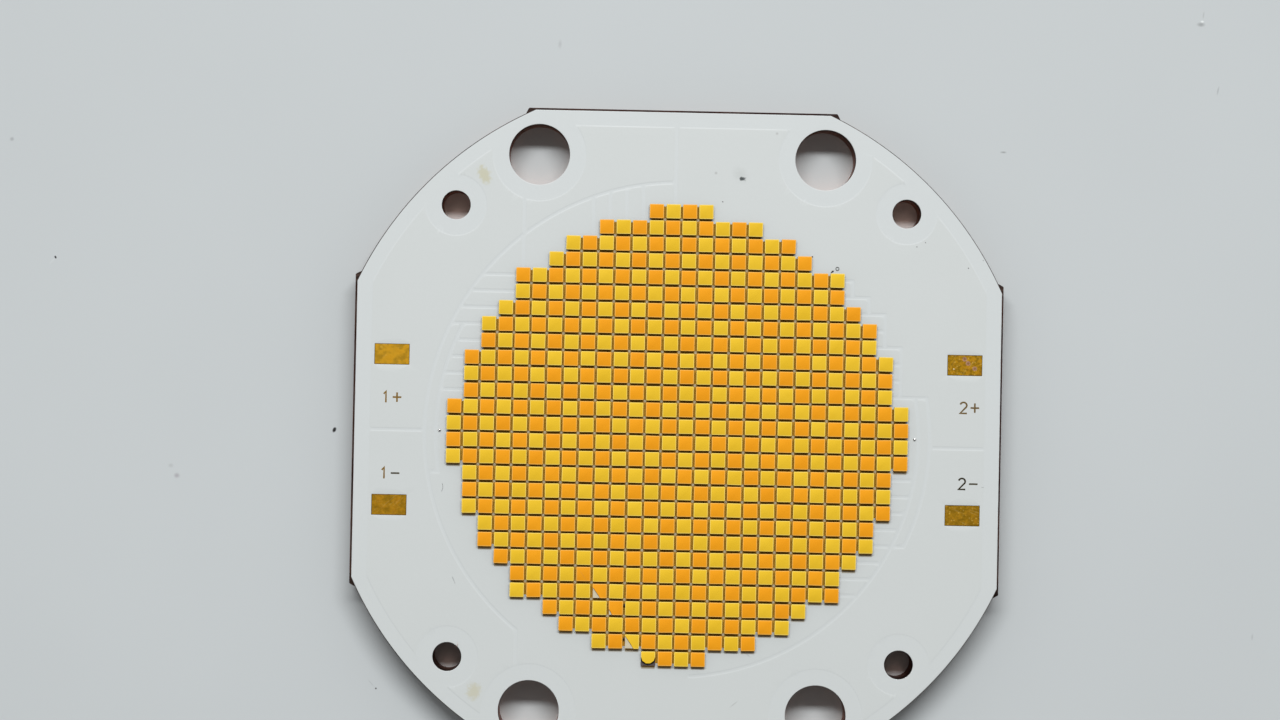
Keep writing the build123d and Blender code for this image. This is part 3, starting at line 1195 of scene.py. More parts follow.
@dataclass
class CopperPlate:
    """The copper core: routed arcs, four scored and snapped flats with small ears, and eight holes.

    Attributes:
        plan: The board's outline and holes.
        top: Height of the plate's upper face.
        score_depth: Depth of the lower score.
        upper_score: Depth of the upper score, which shows a strip of the web from above.
        ear_overrun: How far the snapped web runs on past the corner.
        ear_slope: Length over which an ear slopes back to the arc.
        rim: Width of the broken edges.
        web_roughness: How far the snapped web's face goes in and out.
        torn: How far from the scores that roughness is full.
        around: Bearings that the outer wall has, evenly spread.
        hole_corners: Corners round a hole.
        chord_slack: Share of a hole's radius by which a side of its circle may cut into it.
        edge_shade_and_tarnish: How tarnished the outer wall is at its foot, its middle and its top, 0 to 1, made
            darker on the ears as painted shade.
        screw_shade_and_tarnish: The same of the screw holes, darker up the walls as painted shade.
        upper_pin_shade_and_tarnish: The same of the upper pin holes, clean below as painted light and dark at the
            top as painted shade.
        lower_pin_shade_and_tarnish: The same of the lower pin holes.
        under_tarnish: How tarnished the underside is.
    """

    plan: BoardPlan = PLAN
    top: float = top_of("copper_core")
    score_depth: float = 1.2
    upper_score: float = 0.5
    ear_overrun: float = 1.09
    ear_slope: float = 0.34
    rim: float = 0.03
    web_roughness: float = 0.045
    torn: float = 0.1
    around: int = 1600
    hole_corners: int = 72
    chord_slack: float = 0.0005
    edge_shade_and_tarnish: tuple[float, float, float] = (0.7, 0.95, 1.0)
    screw_shade_and_tarnish: tuple[float, float, float] = (0.05, 0.45, 1.0)
    upper_pin_shade_and_tarnish: tuple[float, float, float] = (0.0, 0.2, 1.0)
    lower_pin_shade_and_tarnish: tuple[float, float, float] = (0.6, 0.75, 1.0)
    under_tarnish: float = 0.25

    def ear(self, angle: Array) -> Array:
        """Distance to the web's edge, which overshoots the corner along the flat and slopes back to the arc.

        Along the slope it is where a ray at the angle crosses the line from the ear's tip to its foot.

        Args:
            angle: Bearings in radians.

        Returns:
            The distance from the centre at each.
        """
        plan = self.plan
        turned = np.abs(np.mod(angle + math.pi / 4, QUARTER) - math.pi / 4)
        corner = plan.reach(plan.radius, plan.half_web)
        tip = np.array([plan.half_web, corner + self.ear_overrun])
        foot_y = tip[1] + self.ear_slope
        foot = np.array([plan.reach(plan.radius, foot_y), foot_y])
        tip_angle, foot_angle = (math.atan2(point[1], point[0]) for point in (tip, foot))
        step = foot - tip
        slope = (tip[0] * step[1] - tip[1] * step[0]) / (np.cos(turned) * step[1] - np.sin(turned) * step[0])
        edge = np.where(turned <= tip_angle, plan.half_web / np.cos(turned), plan.radius)
        return np.where((turned > tip_angle) & (turned < foot_angle), slope, edge)

    def walls(self, angle: Array) -> Array:
        """Rings of the outer wall from the underside up: lower score, ragged web with its ears, upper score.

        Args:
            angle: Bearings of the rings' corners.

        Returns:
            The rings, shape (rings, corners, 3).
        """
        plan = self.plan
        depth, top, rim = self.score_depth, self.top, self.rim
        brow = top - self.upper_score

        def plain(flat: float, inset: float = 0.0) -> Array:
            """A ring without ears."""
            return plan.outline(angle, flat - inset, plan.radius - inset)

        def web(phase: float) -> Array:
            """A ring of the web, whose torn face is the ear's less a ripple."""
            waves = [(0.35, 97.0, phase), (0.3, 211.0, 2.1 * phase), (0.35, 463.0, 3.3 * phase)]
            edge, rough = self.ear(angle), self.web_roughness * (0.5 + 0.5 * ripple(angle, waves))
            return edge - np.where(edge != plan.radius, rough, 0.0)

        levels = [
            (0.0, plain(plan.half_flats, rim)),
            (rim, plain(plan.half_flats)),
            (depth, plain(plan.half_web)),
            (depth, self.ear(angle)),
            (depth + self.torn, web(0.4)),
            ((depth + brow) / 2, web(1.7)),
            (brow - self.torn, web(2.9)),
            (brow, self.ear(angle)),
            (brow, plain(plan.half_web)),
            (top - rim, plain(plan.half_flats)),
            (top, plain(plan.half_flats, rim)),
        ]
        return np.stack([at_height(polar(radius, angle), z) for z, radius in levels])

    def build(self) -> None:
        """Builds the plate's wall, hole walls and faces, and marks the cut edges."""
        plan = self.plan
        rings = self.walls(plan.bearings(self.around))
        patches = [tube(rings)]
        loops = {0.0: [rings[0, :, :2]], self.top: [rings[-1, :, :2]]}
        levels = [(0.0, self.rim), (self.rim, 0.0), (self.top / 2, 0.0), (self.top, 0.0)]
        for hole in plan.holes():
            circles = [ring_points((hole.x, hole.y), hole.radius + grow, self.hole_corners) for _, grow in levels]
            wall = np.stack([at_height(circle, z) for circle, (z, _) in zip(circles, levels)])
            patches.append(tube(wall, inward=True))
            loops[0.0].append(wall[0, :, :2])
            loops[self.top].append(wall[-1, :, :2])

        def solid(place: Array) -> Array:
            """True off the holes."""
            kinds = (plan.screw_hole, plan.pin_hole)
            return np.all([hole.beyond(place) > -self.chord_slack * hole.radius for hole in kinds], axis=0)

        for z, edges in loops.items():
            flat, triangles = triangulate(edges, np.zeros((0, 2)), solid)
            patches.append(Patch(at_height(flat, z), [triangles if z else triangles[:, ::-1]]))
        copper = CopperFinish().material("copper", 1.0)
        plate = make_piece("copper_plate", join(patches), copper, ["copper_core"], 28.0)
        self.mark_cuts(plate.data)

    def mark_cuts(self, mesh: Mesh) -> None:
        """Writes the attribute 'cut': how tarnished a wall is, most along the upper edges, with painted shade that
        darkens the hole walls upwards and the outer wall with its ears, and painted light that leaves the upper pin
        holes cleaner than the lower ones.

        Args:
            mesh: The plate's mesh.
        """
        place = corner_places(mesh)
        y, z = place[:, 1], place[:, 2]

        def near(hole: Hole) -> Array:
            """True on the walls of a hole and its three mirror images."""
            return hole.beyond(place) < 2 * self.rim

        def rising(levels: tuple[float, float, float]) -> Array:
            """Tarnish, with painted shade and light, that changes from the underside to the middle and on to the
            top.
            """
            return np.interp(z / self.top, (0.0, 0.5, 1.0), levels)

        # Painted shade and light through tarnish: hole walls darker upwards, the outer wall and ears darker, upper
        # pin holes cleaner and brighter than the lower ones.
        shade = np.where(near(self.plan.screw_hole), rising(self.screw_shade_and_tarnish), rising(self.edge_shade_and_tarnish))
        pins = np.where(y > 0, rising(self.upper_pin_shade_and_tarnish), rising(self.lower_pin_shade_and_tarnish))
        shade = np.where(near(self.plan.pin_hole), pins, shade)
        paint(mesh, "cut", np.where(z < self.rim / 2, self.under_tarnish, shade))


@dataclass(frozen=True)
class Window:
    """A rectangular opening in the white coat over a pad, by its middle, half its sides and its corners' radius."""

    x: float
    y: float
    half_x: float
    half_y: float
    corner: float = 0.07

    def loop(self, grow: float = 0.0) -> Array:
        """Outline, grown outwards by a width, anticlockwise."""
        return rounded_box(self.half_x + grow, self.half_y + grow, self.corner + grow, 5) + [self.x, self.y]

    def distance(self, place: Array) -> Array:
        """Distance from flat points to the outline, negative inside: the hypotenuse of how far they are past it."""
        past = np.abs(place - [self.x, self.y]) - [self.half_x, self.half_y]
        return np.linalg.norm(np.maximum(past, 0), axis=-1) + np.minimum(past.max(axis=-1), 0)


@dataclass
class WhiteCoat:
    """The white solder mask: a coat that rises over the foil areas and dips into the grooves between them.

    Its height is low + (high - low) * smoothstep of how far a point lies inside a foil area, less a rounded lip
    at the board's edge, the holes and the pad windows.

    Attributes:
        plan, circuit: The board's outline and holes, and the grooves.
        base, low, high: Heights of the coat's underside, and of its face in the grooves and over the foil.
        slope: Half the width of the slope at a foil edge.
        lip, lip_width: How far the edges are rounded down, and over what width.
        offsets, lip_rows: Places of the rows of points across a foil edge and along the rounded edges.
        step, fill: Distance between points along a foil edge and on the flat stretches.
        fill_edge, fill_slope: How far those stay from the coat's edges and from the foil's.
        tolerance: How exactly a point has to lie on a row, and how near the edge a loose point may lie.
        around, foil_around, hole_corners: Points of the outline, of a row along the foil's edge and of a hole.
        probe: Half the distance over which the slope of the coat is measured.
        facing_up: Z of a face's normal over which it belongs to the upper face.
        chip_marks: How ragged the flats' edges are.
        grime, grime_width, grime_end: Strength and width of the dirty line along the arcs, and its end.
        grooves, windows: The grooves between foil areas, and the openings over the pads.
    """

    plan: BoardPlan = PLAN
    circuit: CircuitPlan = CircuitPlan()
    base: float = top_of("dielectric_layer")
    low: float = top_of("foil_upper_left") + 0.036
    high: float = top_of("solder_mask")
    slope: float = 0.09
    lip: float = 0.008
    lip_width: float = 0.08
    offsets: tuple[float, ...] = (-0.09, -0.06, -0.03, 0.0, 0.03, 0.06, 0.09)
    lip_rows: tuple[float, ...] = (0.02, 0.05, 0.08)
    step: float = 0.36
    fill: float = 1.3
    fill_edge: float = 0.5
    fill_slope: float = 0.4
    tolerance: float = 0.004
    around: int = 720
    foil_around: int = 640
    hole_corners: int = 72
    probe: float = 0.01
    facing_up: float = 0.7
    chip_marks: float = 0.018
    grime: float = 0.9
    grime_width: float = 0.035
    grime_end: float = 0.05
    grooves: list[Groove | RingGroove] = field(default_factory=list)
    windows: list[Window] = field(default_factory=list)

    def __post_init__(self) -> None:
        """Lists the grooves, and reads the windows from the CAD pads."""
        self.grooves = self.circuit.grooves()
        for side in Side:
            for level in Level:
                low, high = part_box(f"pad_{level.name.lower()}_{side.name.lower()}")
                middle, half = (low + high) / 2 / MM, (high - low) / 2 / MM
                self.windows.append(Window(middle.x, middle.y, half.x, half.y))

    def foil_inside(self, place: Array) -> Array:
        """How far a flat point lies inside a foil area, negative in the grooves and margins."""
        field_inside = self.plan.inside(place, self.plan.edge_margin, self.plan.edge_margin, self.plan.hole_margin)
        half = self.plan.groove_width / 2
        return np.minimum.reduce([field_inside, *(groove.distance(place) - half for groove in self.grooves)])

    def edge_inside(self, place: Array) -> Array:
        """How far a flat point lies from the coat's nearest edge."""
        board = self.plan.inside(place, from_arcs=self.plan.laminate_setback)
        return np.minimum.reduce([board, *(window.distance(place) for window in self.windows)])

    def raised(self, place: Array) -> Array:
        """0 in the grooves, 1 over foil, by smoothstep over the slope."""
        share = np.clip((self.foil_inside(place) + self.slope) / (2 * self.slope), 0, 1)
        return share * share * (3 - 2 * share)

    def height(self, place: Array) -> Array:
        """Height of the coat's upper face."""
        near = np.clip(1 - self.edge_inside(place) / self.lip_width, 0, 1)
        return self.low + (self.high - self.low) * self.raised(place) - self.lip * near * near

    def outline(self, angle: Array, inset: float) -> Array:
        """The coat's outline, whose straight sides are chipped a little where the board was snapped.

        Args:
            angle: Bearings of its corners.
            inset: How far it is drawn in.

        Returns:
            The flat points: the board's outline, less a ripple along the flats.
        """
        plan = self.plan
        waves = [(0.4, 83.0, 0.3), (0.35, 187.0, 1.1), (0.25, 409.0, 2.6)]
        chipped = self.chip_marks * (0.5 + 0.5 * ripple(angle, waves))
        radius = plan.outline(angle, plan.half_flats - inset - chipped, plan.radius - plan.laminate_setback - inset)
        return polar(radius, angle)

    def contour_points(self) -> Array:
        """Rows of points along every foil edge, kept only where that edge is the nearest one.

        Returns:
            The flat points.
        """
        plan = self.plan
        rows: list[Array] = []
        angle = plan.bearings(self.foil_around)
        for offset in self.offsets:
            margin = plan.edge_margin + offset
            candidates = [polar(plan.outline(angle, plan.half_flats - margin, plan.radius - margin), angle)]
            for hole in plan.holes():
                around = hole.radius + plan.hole_margin + offset
                candidates.append(ring_points((hole.x, hole.y), around, round(math.tau * around / self.step)))
            half = plan.groove_width / 2
            candidates += [groove.beside(half + offset, self.step) for groove in self.grooves]
            points = np.concatenate(candidates)
            rows.append(points[np.abs(self.foil_inside(points) - offset) < self.tolerance])
        return np.concatenate(rows)

    def lip_points(self, angle: Array) -> list[Array]:
        """Rows of points along the rounded edges.

        Args:
            angle: Bearings of the outline's corners.

        Returns:
            The rows.
        """
        rows = []
        for inset in self.lip_rows:
            rows.append(self.outline(angle, inset))
            rows += self.hole_loops(inset)
            rows += [window.loop(inset) for window in self.windows]
        return rows

    def hole_loops(self, grow: float = 0.0) -> list[Array]:
        """Outlines of the holes, grown by a width."""
        holes = self.plan.holes()
        return [ring_points((hole.x, hole.y), hole.radius + grow, self.hole_corners) for hole in holes]

    def fill_points(self) -> Array:
        """A loose triangular grid of points on the flat stretches, away from edges and slopes.

        Row j is moved aside by half a step where j is odd, and is sqrt(3) / 2 of a step above the one below.

        Returns:
            The flat points.
        """
        count = int(self.plan.radius / self.fill) + 1
        i, j = np.meshgrid(np.arange(-count, count + 1), np.arange(-count, count + 1))
        grid = np.stack([(i + 0.5 * (j % 2)) * self.fill, j * self.fill * math.sqrt(3) / 2], axis=-1).reshape(-1, 2)
        return grid[(self.edge_inside(grid) > self.fill_edge) & (np.abs(self.foil_inside(grid)) > self.fill_slope)]

    def build(self) -> None:
        """Builds the coat's upper face from its height, its flat underside and its walls."""
        angle = self.plan.bearings(self.around)
        loops = [self.outline(angle, 0.0), *self.hole_loops(), *(window.loop() for window in self.windows)]

        def covered(place: Array) -> Array:
            """True on the coat."""
            return self.edge_inside(place) > -self.tolerance

        loose = np.concatenate([self.contour_points(), *self.lip_points(angle), self.fill_points()])
        loose = loose[self.edge_inside(loose) > self.tolerance]
        flat, triangles = triangulate(loops, loose, covered)
        patches = [Patch(at_height(flat, self.height(flat)), [triangles])]
        under, below = triangulate(loops, np.zeros((0, 2)), covered)
        patches.append(Patch(at_height(under, self.base), [below[:, ::-1]]))
        for number, loop in enumerate(loops):
            wall = np.stack([at_height(loop, self.base), at_height(loop, self.height(loop))])
            patches.append(tube(wall, inward=number > 0))
        white = WhiteCoatFinish().material()
        coat = make_piece("white_coat", join(patches), white, ["solder_mask"], 40.0)
        self.mark_raised(coat.data)
        self.shade_by_height(coat.data)

    def shade_by_height(self, mesh: Mesh) -> None:
        """Gives the upper face the normals of the height's formula, (-dz/dx, -dz/dy, 1), and other faces their own.

        Args:
            mesh: The coat's mesh.
        """
        flat = corner_places(mesh)[:, :2]
        moves = np.eye(2) * self.probe
        slopes = [(self.height(flat + move) - self.height(flat - move)) / (2 * self.probe) for move in moves]
        smooth = np.stack([-slopes[0], -slopes[1], np.ones(len(flat))], axis=-1)
        smooth /= np.linalg.norm(smooth, axis=1)[:, None]
        corners = read(mesh.polygons, "loop_total", kind=np.int32)
        own = np.repeat(read(mesh.polygons, "normal", 3), corners, axis=0)
        smooth = smooth[read(mesh.loops, "vertex_index", kind=np.int32)]
        mesh.normals_split_custom_set(np.where(own[:, 2:] > self.facing_up, smooth, own).tolist())

    def mark_raised(self, mesh: Mesh) -> None:
        """Writes the attributes 'raised', which is 1 over foil, and 'grime', the dark dirt along the routed arcs.

        Args:
            mesh: The coat's mesh.
        """
        flat = corner_places(mesh)[:, :2]
        paint(mesh, "raised", self.raised(flat))
        from_arc = self.plan.radius - self.plan.laminate_setback - np.hypot(flat[:, 0], flat[:, 1])
        on_arc = np.abs(flat).max(axis=1) < self.plan.half_flats - self.grime_end
        paint(mesh, "grime", np.where(on_arc, self.grime * np.clip(1 - from_arc / self.grime_width, 0, 1), 0.0))


@dataclass(frozen=True)
class TornChip:
    """A chip whose lower left corner has lost its phosphor."""

    row: int
    column: int
    run: float
    rise: float


@dataclass
class ChipField:
    """The chips: small rounded squares on a grid, in two colours like a chessboard."""

    plan: BoardPlan = PLAN
    base: float = top_of("solder_mask")
    top: float = top_of("orange_chips_rows_13_14")
    bevel: float = 0.018
    corner: float = 0.075
    turn: float = 0.45
    shift: float = 0.012
    tilt: float = 0.006
    sink: float = 0.006
    torn: tuple[TornChip, ...] = (
        TornChip(9, -5, 0.742, 1.05),
        TornChip(10, -4, 0.322, 0.574),
        TornChip(12, -3, 0.854, 1.246),
    )
    tear_bow: Pair = (0.018, 0.024)
    bared_row: int = 13
    bared_column: int = -2
    bared_length: float = 1.20
    bared_floor: float = 0.05

    def middle(self, row: int, column: int) -> Pair:
        """Centre of a chip."""
        return (column + 0.5) * self.plan.pitch, -(row + 0.5) * self.plan.pitch

    def outline(self, row: int, column: int) -> Array:
        """A chip's outline of twelve corners about its own centre, with its tear or slipped end if it has one.

        A torn corner is a bowed line between its two legs, and the slipped end is half a circle.

        Args:
            row: The chip's row.
            column: Its column.

        Returns:
            The flat points, anticlockwise from the lower right.
        """
        half = self.plan.chip_size / 2
        shape = rounded_box(half, half, self.corner, 3, first=-1)
        for tear in self.torn:
            if (row, column) == (tear.row, tear.column):
                start, end = np.array([-half, tear.rise - half]), np.array([tear.run - half, -half])
                shape[9:12] = [start, (start + end) / 2 + np.array(self.tear_bow), end]
        if (row, column) == (self.bared_row, self.bared_column):
            arc = polar(half, np.linspace(math.pi, math.tau, 6), (0.0, half - self.bared_length + half))
            shape = np.concatenate([shape[3:9], arc])
        return shape

    def tear_lines(self, colour: Phosphor) -> tuple[Spot, ...]:
        """Dark lines along the tears of one colour's chips.

        Args:
            colour: The colour.

        Returns:
            One thin spot for each tear.
        """
        half = self.plan.chip_size / 2
        lines = []
        for tear in self.torn:
            if (tear.row + tear.column) % 2 == colour.value:
                x, y = self.middle(tear.row, tear.column)
                place = (x - half + tear.run / 2, y - half + tear.rise / 2)
                length = math.hypot(tear.run, tear.rise) / 2
                turn = -math.degrees(math.atan2(tear.rise, tear.run))
                lines.append(Spot(*place, length, 0.05, (0.10, 0.045, 0.008), 0.8, turn=turn, raggedness=0.6))
        return tuple(lines)

    def cells(self) -> list[tuple[int, int]]:
        """Finds the chips: every place of the grid whose four corners lie inside the round field.

        Returns:
            Row and column of each.
        """
        plan = self.plan
        count = int(plan.field_radius / plan.pitch) + 1
        numbers = np.arange(-count, count)
        row, column = np.meshgrid(numbers, numbers, indexing="ij")
        far = [np.abs((number + 0.5) * plan.pitch) + plan.chip_size / 2 for number in (row, column)]
        fits = np.hypot(*far) <= plan.field_radius
        return list(zip(row[fits].tolist(), column[fits].tolist()))

    def rings(
        self, cells: Sequence[tuple[int, int]], local: Array, random: np.random.Generator
    ) -> Array:
        """Stands chips up, each turned, moved, leaned and sunk by a little of its own.

        A chip is four rings of its outline: at its foot, at the start of the bevel, part of the way over it, and
        drawn in by the bevel on the top. A point is the chip's middle + spin * outline * (1 - draw * bevel / half).

        Args:
            cells: Row and column of each chip.
            local: Its outline about its own centre, shape (chips, corners, 2).
            random: Source of the small differences between chips.

        Returns:
            The points, shape (chips, 4, corners, 3).
        """
        half, count = self.plan.chip_size / 2, len(cells)
        angle = np.radians(random.normal(0, self.turn, count))
        middle = np.array([self.middle(*cell) for cell in cells])
        middle += random.normal(0, self.shift, (count, 2))
        ahead = np.stack([np.cos(angle), -np.sin(angle)], -1)
        spin = np.stack([ahead, np.stack([np.sin(angle), np.cos(angle)], -1)], -2)
        lean = random.normal(0, self.tilt, (count, 2))
        sunk = np.abs(random.normal(0, self.sink, count))
        bared = np.array([cell == (self.bared_row, self.bared_column) for cell in cells])
        foot = np.broadcast_to((self.base + self.bared_floor * bared)[:, None], local.shape[:2])
        rings = [at_height(np.einsum("nij,nkj->nki", spin, local) + middle[:, None, :], foot)]
        for drop, draw in ((1.0, 0.0), (0.3, 0.3), (0.0, 1.0)):
            shape = local * (1 - draw * self.bevel / half)
            lowered = np.einsum("nkj,nj->nk", shape, lean) - np.abs(lean).sum(axis=1)[:, None] * half
            flat = np.einsum("nij,nkj->nki", spin, shape) + middle[:, None, :]
            rings.append(at_height(flat, self.top - drop * self.bevel + lowered - sunk[:, None]))
        return np.stack(rings, axis=1)

    def build_group(
        self, name: str, cells: Sequence[tuple[int, int]], material: Material, random: np.random.Generator
    ) -> None:
        """Builds the chips of two rows and one colour as one piece.

        Args:
            name: Name of the CAD node that the piece stands for.
            cells: Row and column of each chip.
            material: The phosphor.
            random: Source of the small differences between chips.
        """
        local = np.stack([self.outline(*cell) for cell in cells])
        chips, corners, _ = local.shape
        patch = tube(self.rings(cells, local, random), closed=True)
        slot = f"{name.split('_')[0]}_phosphor"
        mesh = make_piece(name.replace("chips", "phosphor"), patch, material, [name], 20.0, weld=0.0).data
        paint(mesh, "tone", np.repeat(random.uniform(0, 1, chips), 4 * corners))
        # The walls, where 'side' is 1, take the phosphor's dark painted shade.
        paint(mesh, "side", np.tile(np.repeat([1.0, 1.0, 0.0, 0.0], corners), chips))
        unwrap(mesh, "chip_top", np.repeat(local[:, None], 4, axis=1).reshape(-1, 2) / self.plan.chip_size + 0.5)

    def phosphor(self, colour: Phosphor) -> Material:
        """Makes the phosphor of one colour, with the marks on its chips.

        Args:
            colour: The colour.

        Returns:
            The material.
        """
        name, tears = f"{colour.name.lower()}_phosphor", self.tear_lines(colour)
        # Tones: plain, deep, the painted highlight along the edges and the painted shade on the walls.
        if colour is Phosphor.ORANGE:
            scratch = Spot(-8.95, -14.0, 0.55, 0.04, (0.70, 0.30, 0.03), 0.6, turn=-55.0)
            tones = (0.890, 0.366, 0.009), (0.835, 0.320, 0.006), (0.930, 0.520, 0.120), (0.062, 0.017, 0.001)
            return PhosphorFinish(name, *tones, spots=(scratch, *tears)).material()
        tones = (0.836, 0.538, 0.028), (0.778, 0.481, 0.018), (0.930, 0.720, 0.180), (0.058, 0.024, 0.001)
        return PhosphorFinish(name, *tones, spots=tears).material()

    def build(self) -> None:
        """Builds every group of chips, and dresses the bodies and base that the damage lays bare."""
        random = np.random.default_rng(SEED)
        materials = {colour: self.phosphor(colour) for colour in Phosphor}
        cells = self.cells()
        first_row, last_row = cells[0][0], cells[-1][0]
        for number in range(1, last_row - first_row + 2, 2):
            rows = (first_row + number - 1, first_row + number)
            for colour, material in materials.items():
                chosen = [cell for cell in cells if cell[0] in rows and sum(cell) % 2 == colour.value]
                name = f"{colour.name.lower()}_chips_rows_{number:02d}_{number + 1:02d}"
                self.build_group(name, chosen, material, random)
        pale = PlainFinish("pale_chip_body", (0.63, 0.57, 0.42), (0.57, 0.50, 0.35), (0.42, 0.38, 0.28))
        dress("torn_chip_bodies", pale.material())
        # Painted shadow: a near-black disc on the base under the slipped phosphor's round end.
        x, y = self.middle(self.bared_row, self.bared_column)
        place = (x, y + self.plan.chip_size - self.bared_length)
        shade = Spot(*place, 0.85, 0.85, (0.006, 0.005, 0.003), 1.0, softness=0.05, raggedness=0.1)
        tones = (0.070, 0.055, 0.058), (0.098, 0.078, 0.083), (0.03, 0.02, 0.02)
        dress("bared_chip_base", PlainFinish("dark_chip_base", *tones, roughness=0.4, spots=(shade,)).material())


def dress(node: str, material: Material) -> None:
    """Gives a CAD node that stays as it is its material.

    Args:
        node: The node's name.
        material: Its material.
    """
    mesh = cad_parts[node].data
    mesh.materials.clear()
    mesh.materials.append(material)
    log.info("%s: dressed", node)


@dataclass
class SolderPads:
    """Four gold pads: a grid of points each, almost flat, that a few long waves make uneven."""

    columns: int = 61
    rows: int = 37
    waviness: float = 0.004
    skirt: float = 0.004
    skirt_width: float = 0.06

    def finish(self, side: Side, level: Level) -> GoldFinish:
        """Chooses the gold of one pad: the upper left one is bright, the others are mottled.

        Args:
            side: The pad's side of the board.
            level: Its half of the board.

        Returns:
            The finish.
        """
        name = "gold_" + corner_name(side, level)
        if (side, level) == (Side.LEFT, Level.UPPER):
            place = (-29.27, 8.06)
            mark = Spot(*place, 0.30, 0.24, (0.48, 0.27, 0.02), 0.6, softness=0.5, raggedness=0.8)
            core = Spot(*place, 0.16, 0.12, (0.68, 0.40, 0.04), 0.6, softness=0.4, raggedness=0.8)
            tones = (0.680, 0.372, 0.022), (0.610, 0.318, 0.014)
            return GoldFinish(name, *tones, 0.06, 0.05, 3.0, relief=0.002, spots=(mark, core))
        if (side, level) == (Side.LEFT, Level.LOWER):
            return GoldFinish(name, (0.640, 0.335, 0.015), (0.430, 0.205, 0.010), 0.22, 0.15, 42.0)
        if (side, level) == (Side.RIGHT, Level.LOWER):
            return GoldFinish(name, (0.580, 0.310, 0.013), (0.400, 0.200, 0.010), 0.35, 0.55, -20.0)
        marks = []
        for place in ((28.17, 8.02), (28.52, 7.60), (29.18, 7.10)):
            for radius, colour in ((0.21, (0.50, 0.28, 0.24)), (0.12, (0.30, 0.16, 0.05))):
                marks.append(Spot(*place, radius, radius, colour, 0.85, softness=0.3, raggedness=0.5))
        marks.append(Spot(27.12, 7.03, 0.07, 0.05, (1.0, 0.9, 0.6), 1.0, softness=0.4, raggedness=0.3))
        tones = (0.640, 0.340, 0.012), (0.400, 0.190, 0.008)
        return GoldFinish(name, *tones, 0.50, 0.45, 60.0, spots=tuple(marks))

    def build(self) -> None:
        """Builds every pad."""
        for side in Side:
            for level in Level:
                self.build_pad(side, level)

    def build_pad(self, side: Side, level: Level) -> None:
        """Builds one pad between the corners of its CAD node.

        Its height is the node's top, less a ripple along X times one along Y, and less the turned down edge.

        Args:
            side: The pad's side of the board.
            level: Its half of the board.
        """
        node = "pad_" + corner_name(side, level)
        low, high = (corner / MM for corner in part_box(node))
        length, width = high.x - low.x, high.y - low.y
        u, v = np.meshgrid(np.linspace(0, 1, self.columns), np.linspace(0, 1, self.rows))
        x, y = low.x + length * u, low.y + width * v
        along, across = [(0.5, 3.1, side.value), (0.3, 7.7, 0.4)], [(0.6, 4.3, level.value), (0.4, 9.1, 1.3)]
        waves = ripple(x, along) * ripple(y, across)
        near = np.minimum(np.minimum(u, 1 - u) * length, np.minimum(v, 1 - v) * width)
        turned_down = self.skirt * np.clip(1 - near / self.skirt_width, 0, 1) ** 2
        face = sheet_grid(x, y, high.z - self.waviness * (1 + waves) / 2 - turned_down)
        number = np.arange(x.size).reshape(x.shape)
        edge = np.concatenate([number[0], number[1:, -1], number[-1, -2::-1], number[-2:0:-1, 0]])
        rim = face.points[edge]
        foot = at_height(rim[:, :2], low.z)
        under = Patch(foot, [np.arange(len(foot))[::-1][None, :]])
        gold = self.finish(side, level).material()
        patch = join([face, tube(np.stack([foot, rim])), under])
        mesh = make_piece(node + "_plating", patch, gold, [node], 60.0).data
        unwrap(mesh, "pad_top", (corner_places(mesh)[:, :2] - [low.x, low.y]) / [length, width])


@dataclass
class CentreMarks:
    """Two tiny tinned domes, left and right of the light field."""

    rise: float = 0.12
    width: float = 0.85
    corners: int = 24
    rings: int = 7

    def build(self) -> None:
        """Builds both domes: radius * cos(a) out and rise * sin(a) up, for a from the foot to near the pole."""
        low, high = (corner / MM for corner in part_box("centre_marks"))
        radius = (high.y - low.y) / 2 * self.width
        angles = np.linspace(0, QUARTER, self.rings + 1)[:-1]
        levels = [(1.0, low.z), *((math.cos(a), high.z + self.rise * math.sin(a)) for a in angles)]
        patches = []
        for side in Side:
            x = side.value * (high.x - radius)
            rings = [at_height(ring_points((x, 0.0), radius * share, self.corners), z) for share, z in levels]
            dome = tube(np.stack(rings))
            pole = np.array([[x, 0.0, high.z + self.rise]])
            around = len(dome.points) - self.corners + np.arange(self.corners)
            fan = np.stack([around, np.roll(around, -1), np.full(self.corners, len(dome.points))], axis=-1)
            floor = np.arange(self.corners)[::-1][None, :]
            patches.append(Patch(np.concatenate([dome.points, pole]), [*dome.faces, fan, floor]))
        tones = (0.78, 0.78, 0.77), (0.60, 0.60, 0.60), (0.3, 0.3, 0.3)
        tin = PlainFinish("tin", *tones, metallic=1.0, roughness=0.22)
        make_piece("tin_dots", join(patches), tin.material(), ["centre_marks"], 60.0)


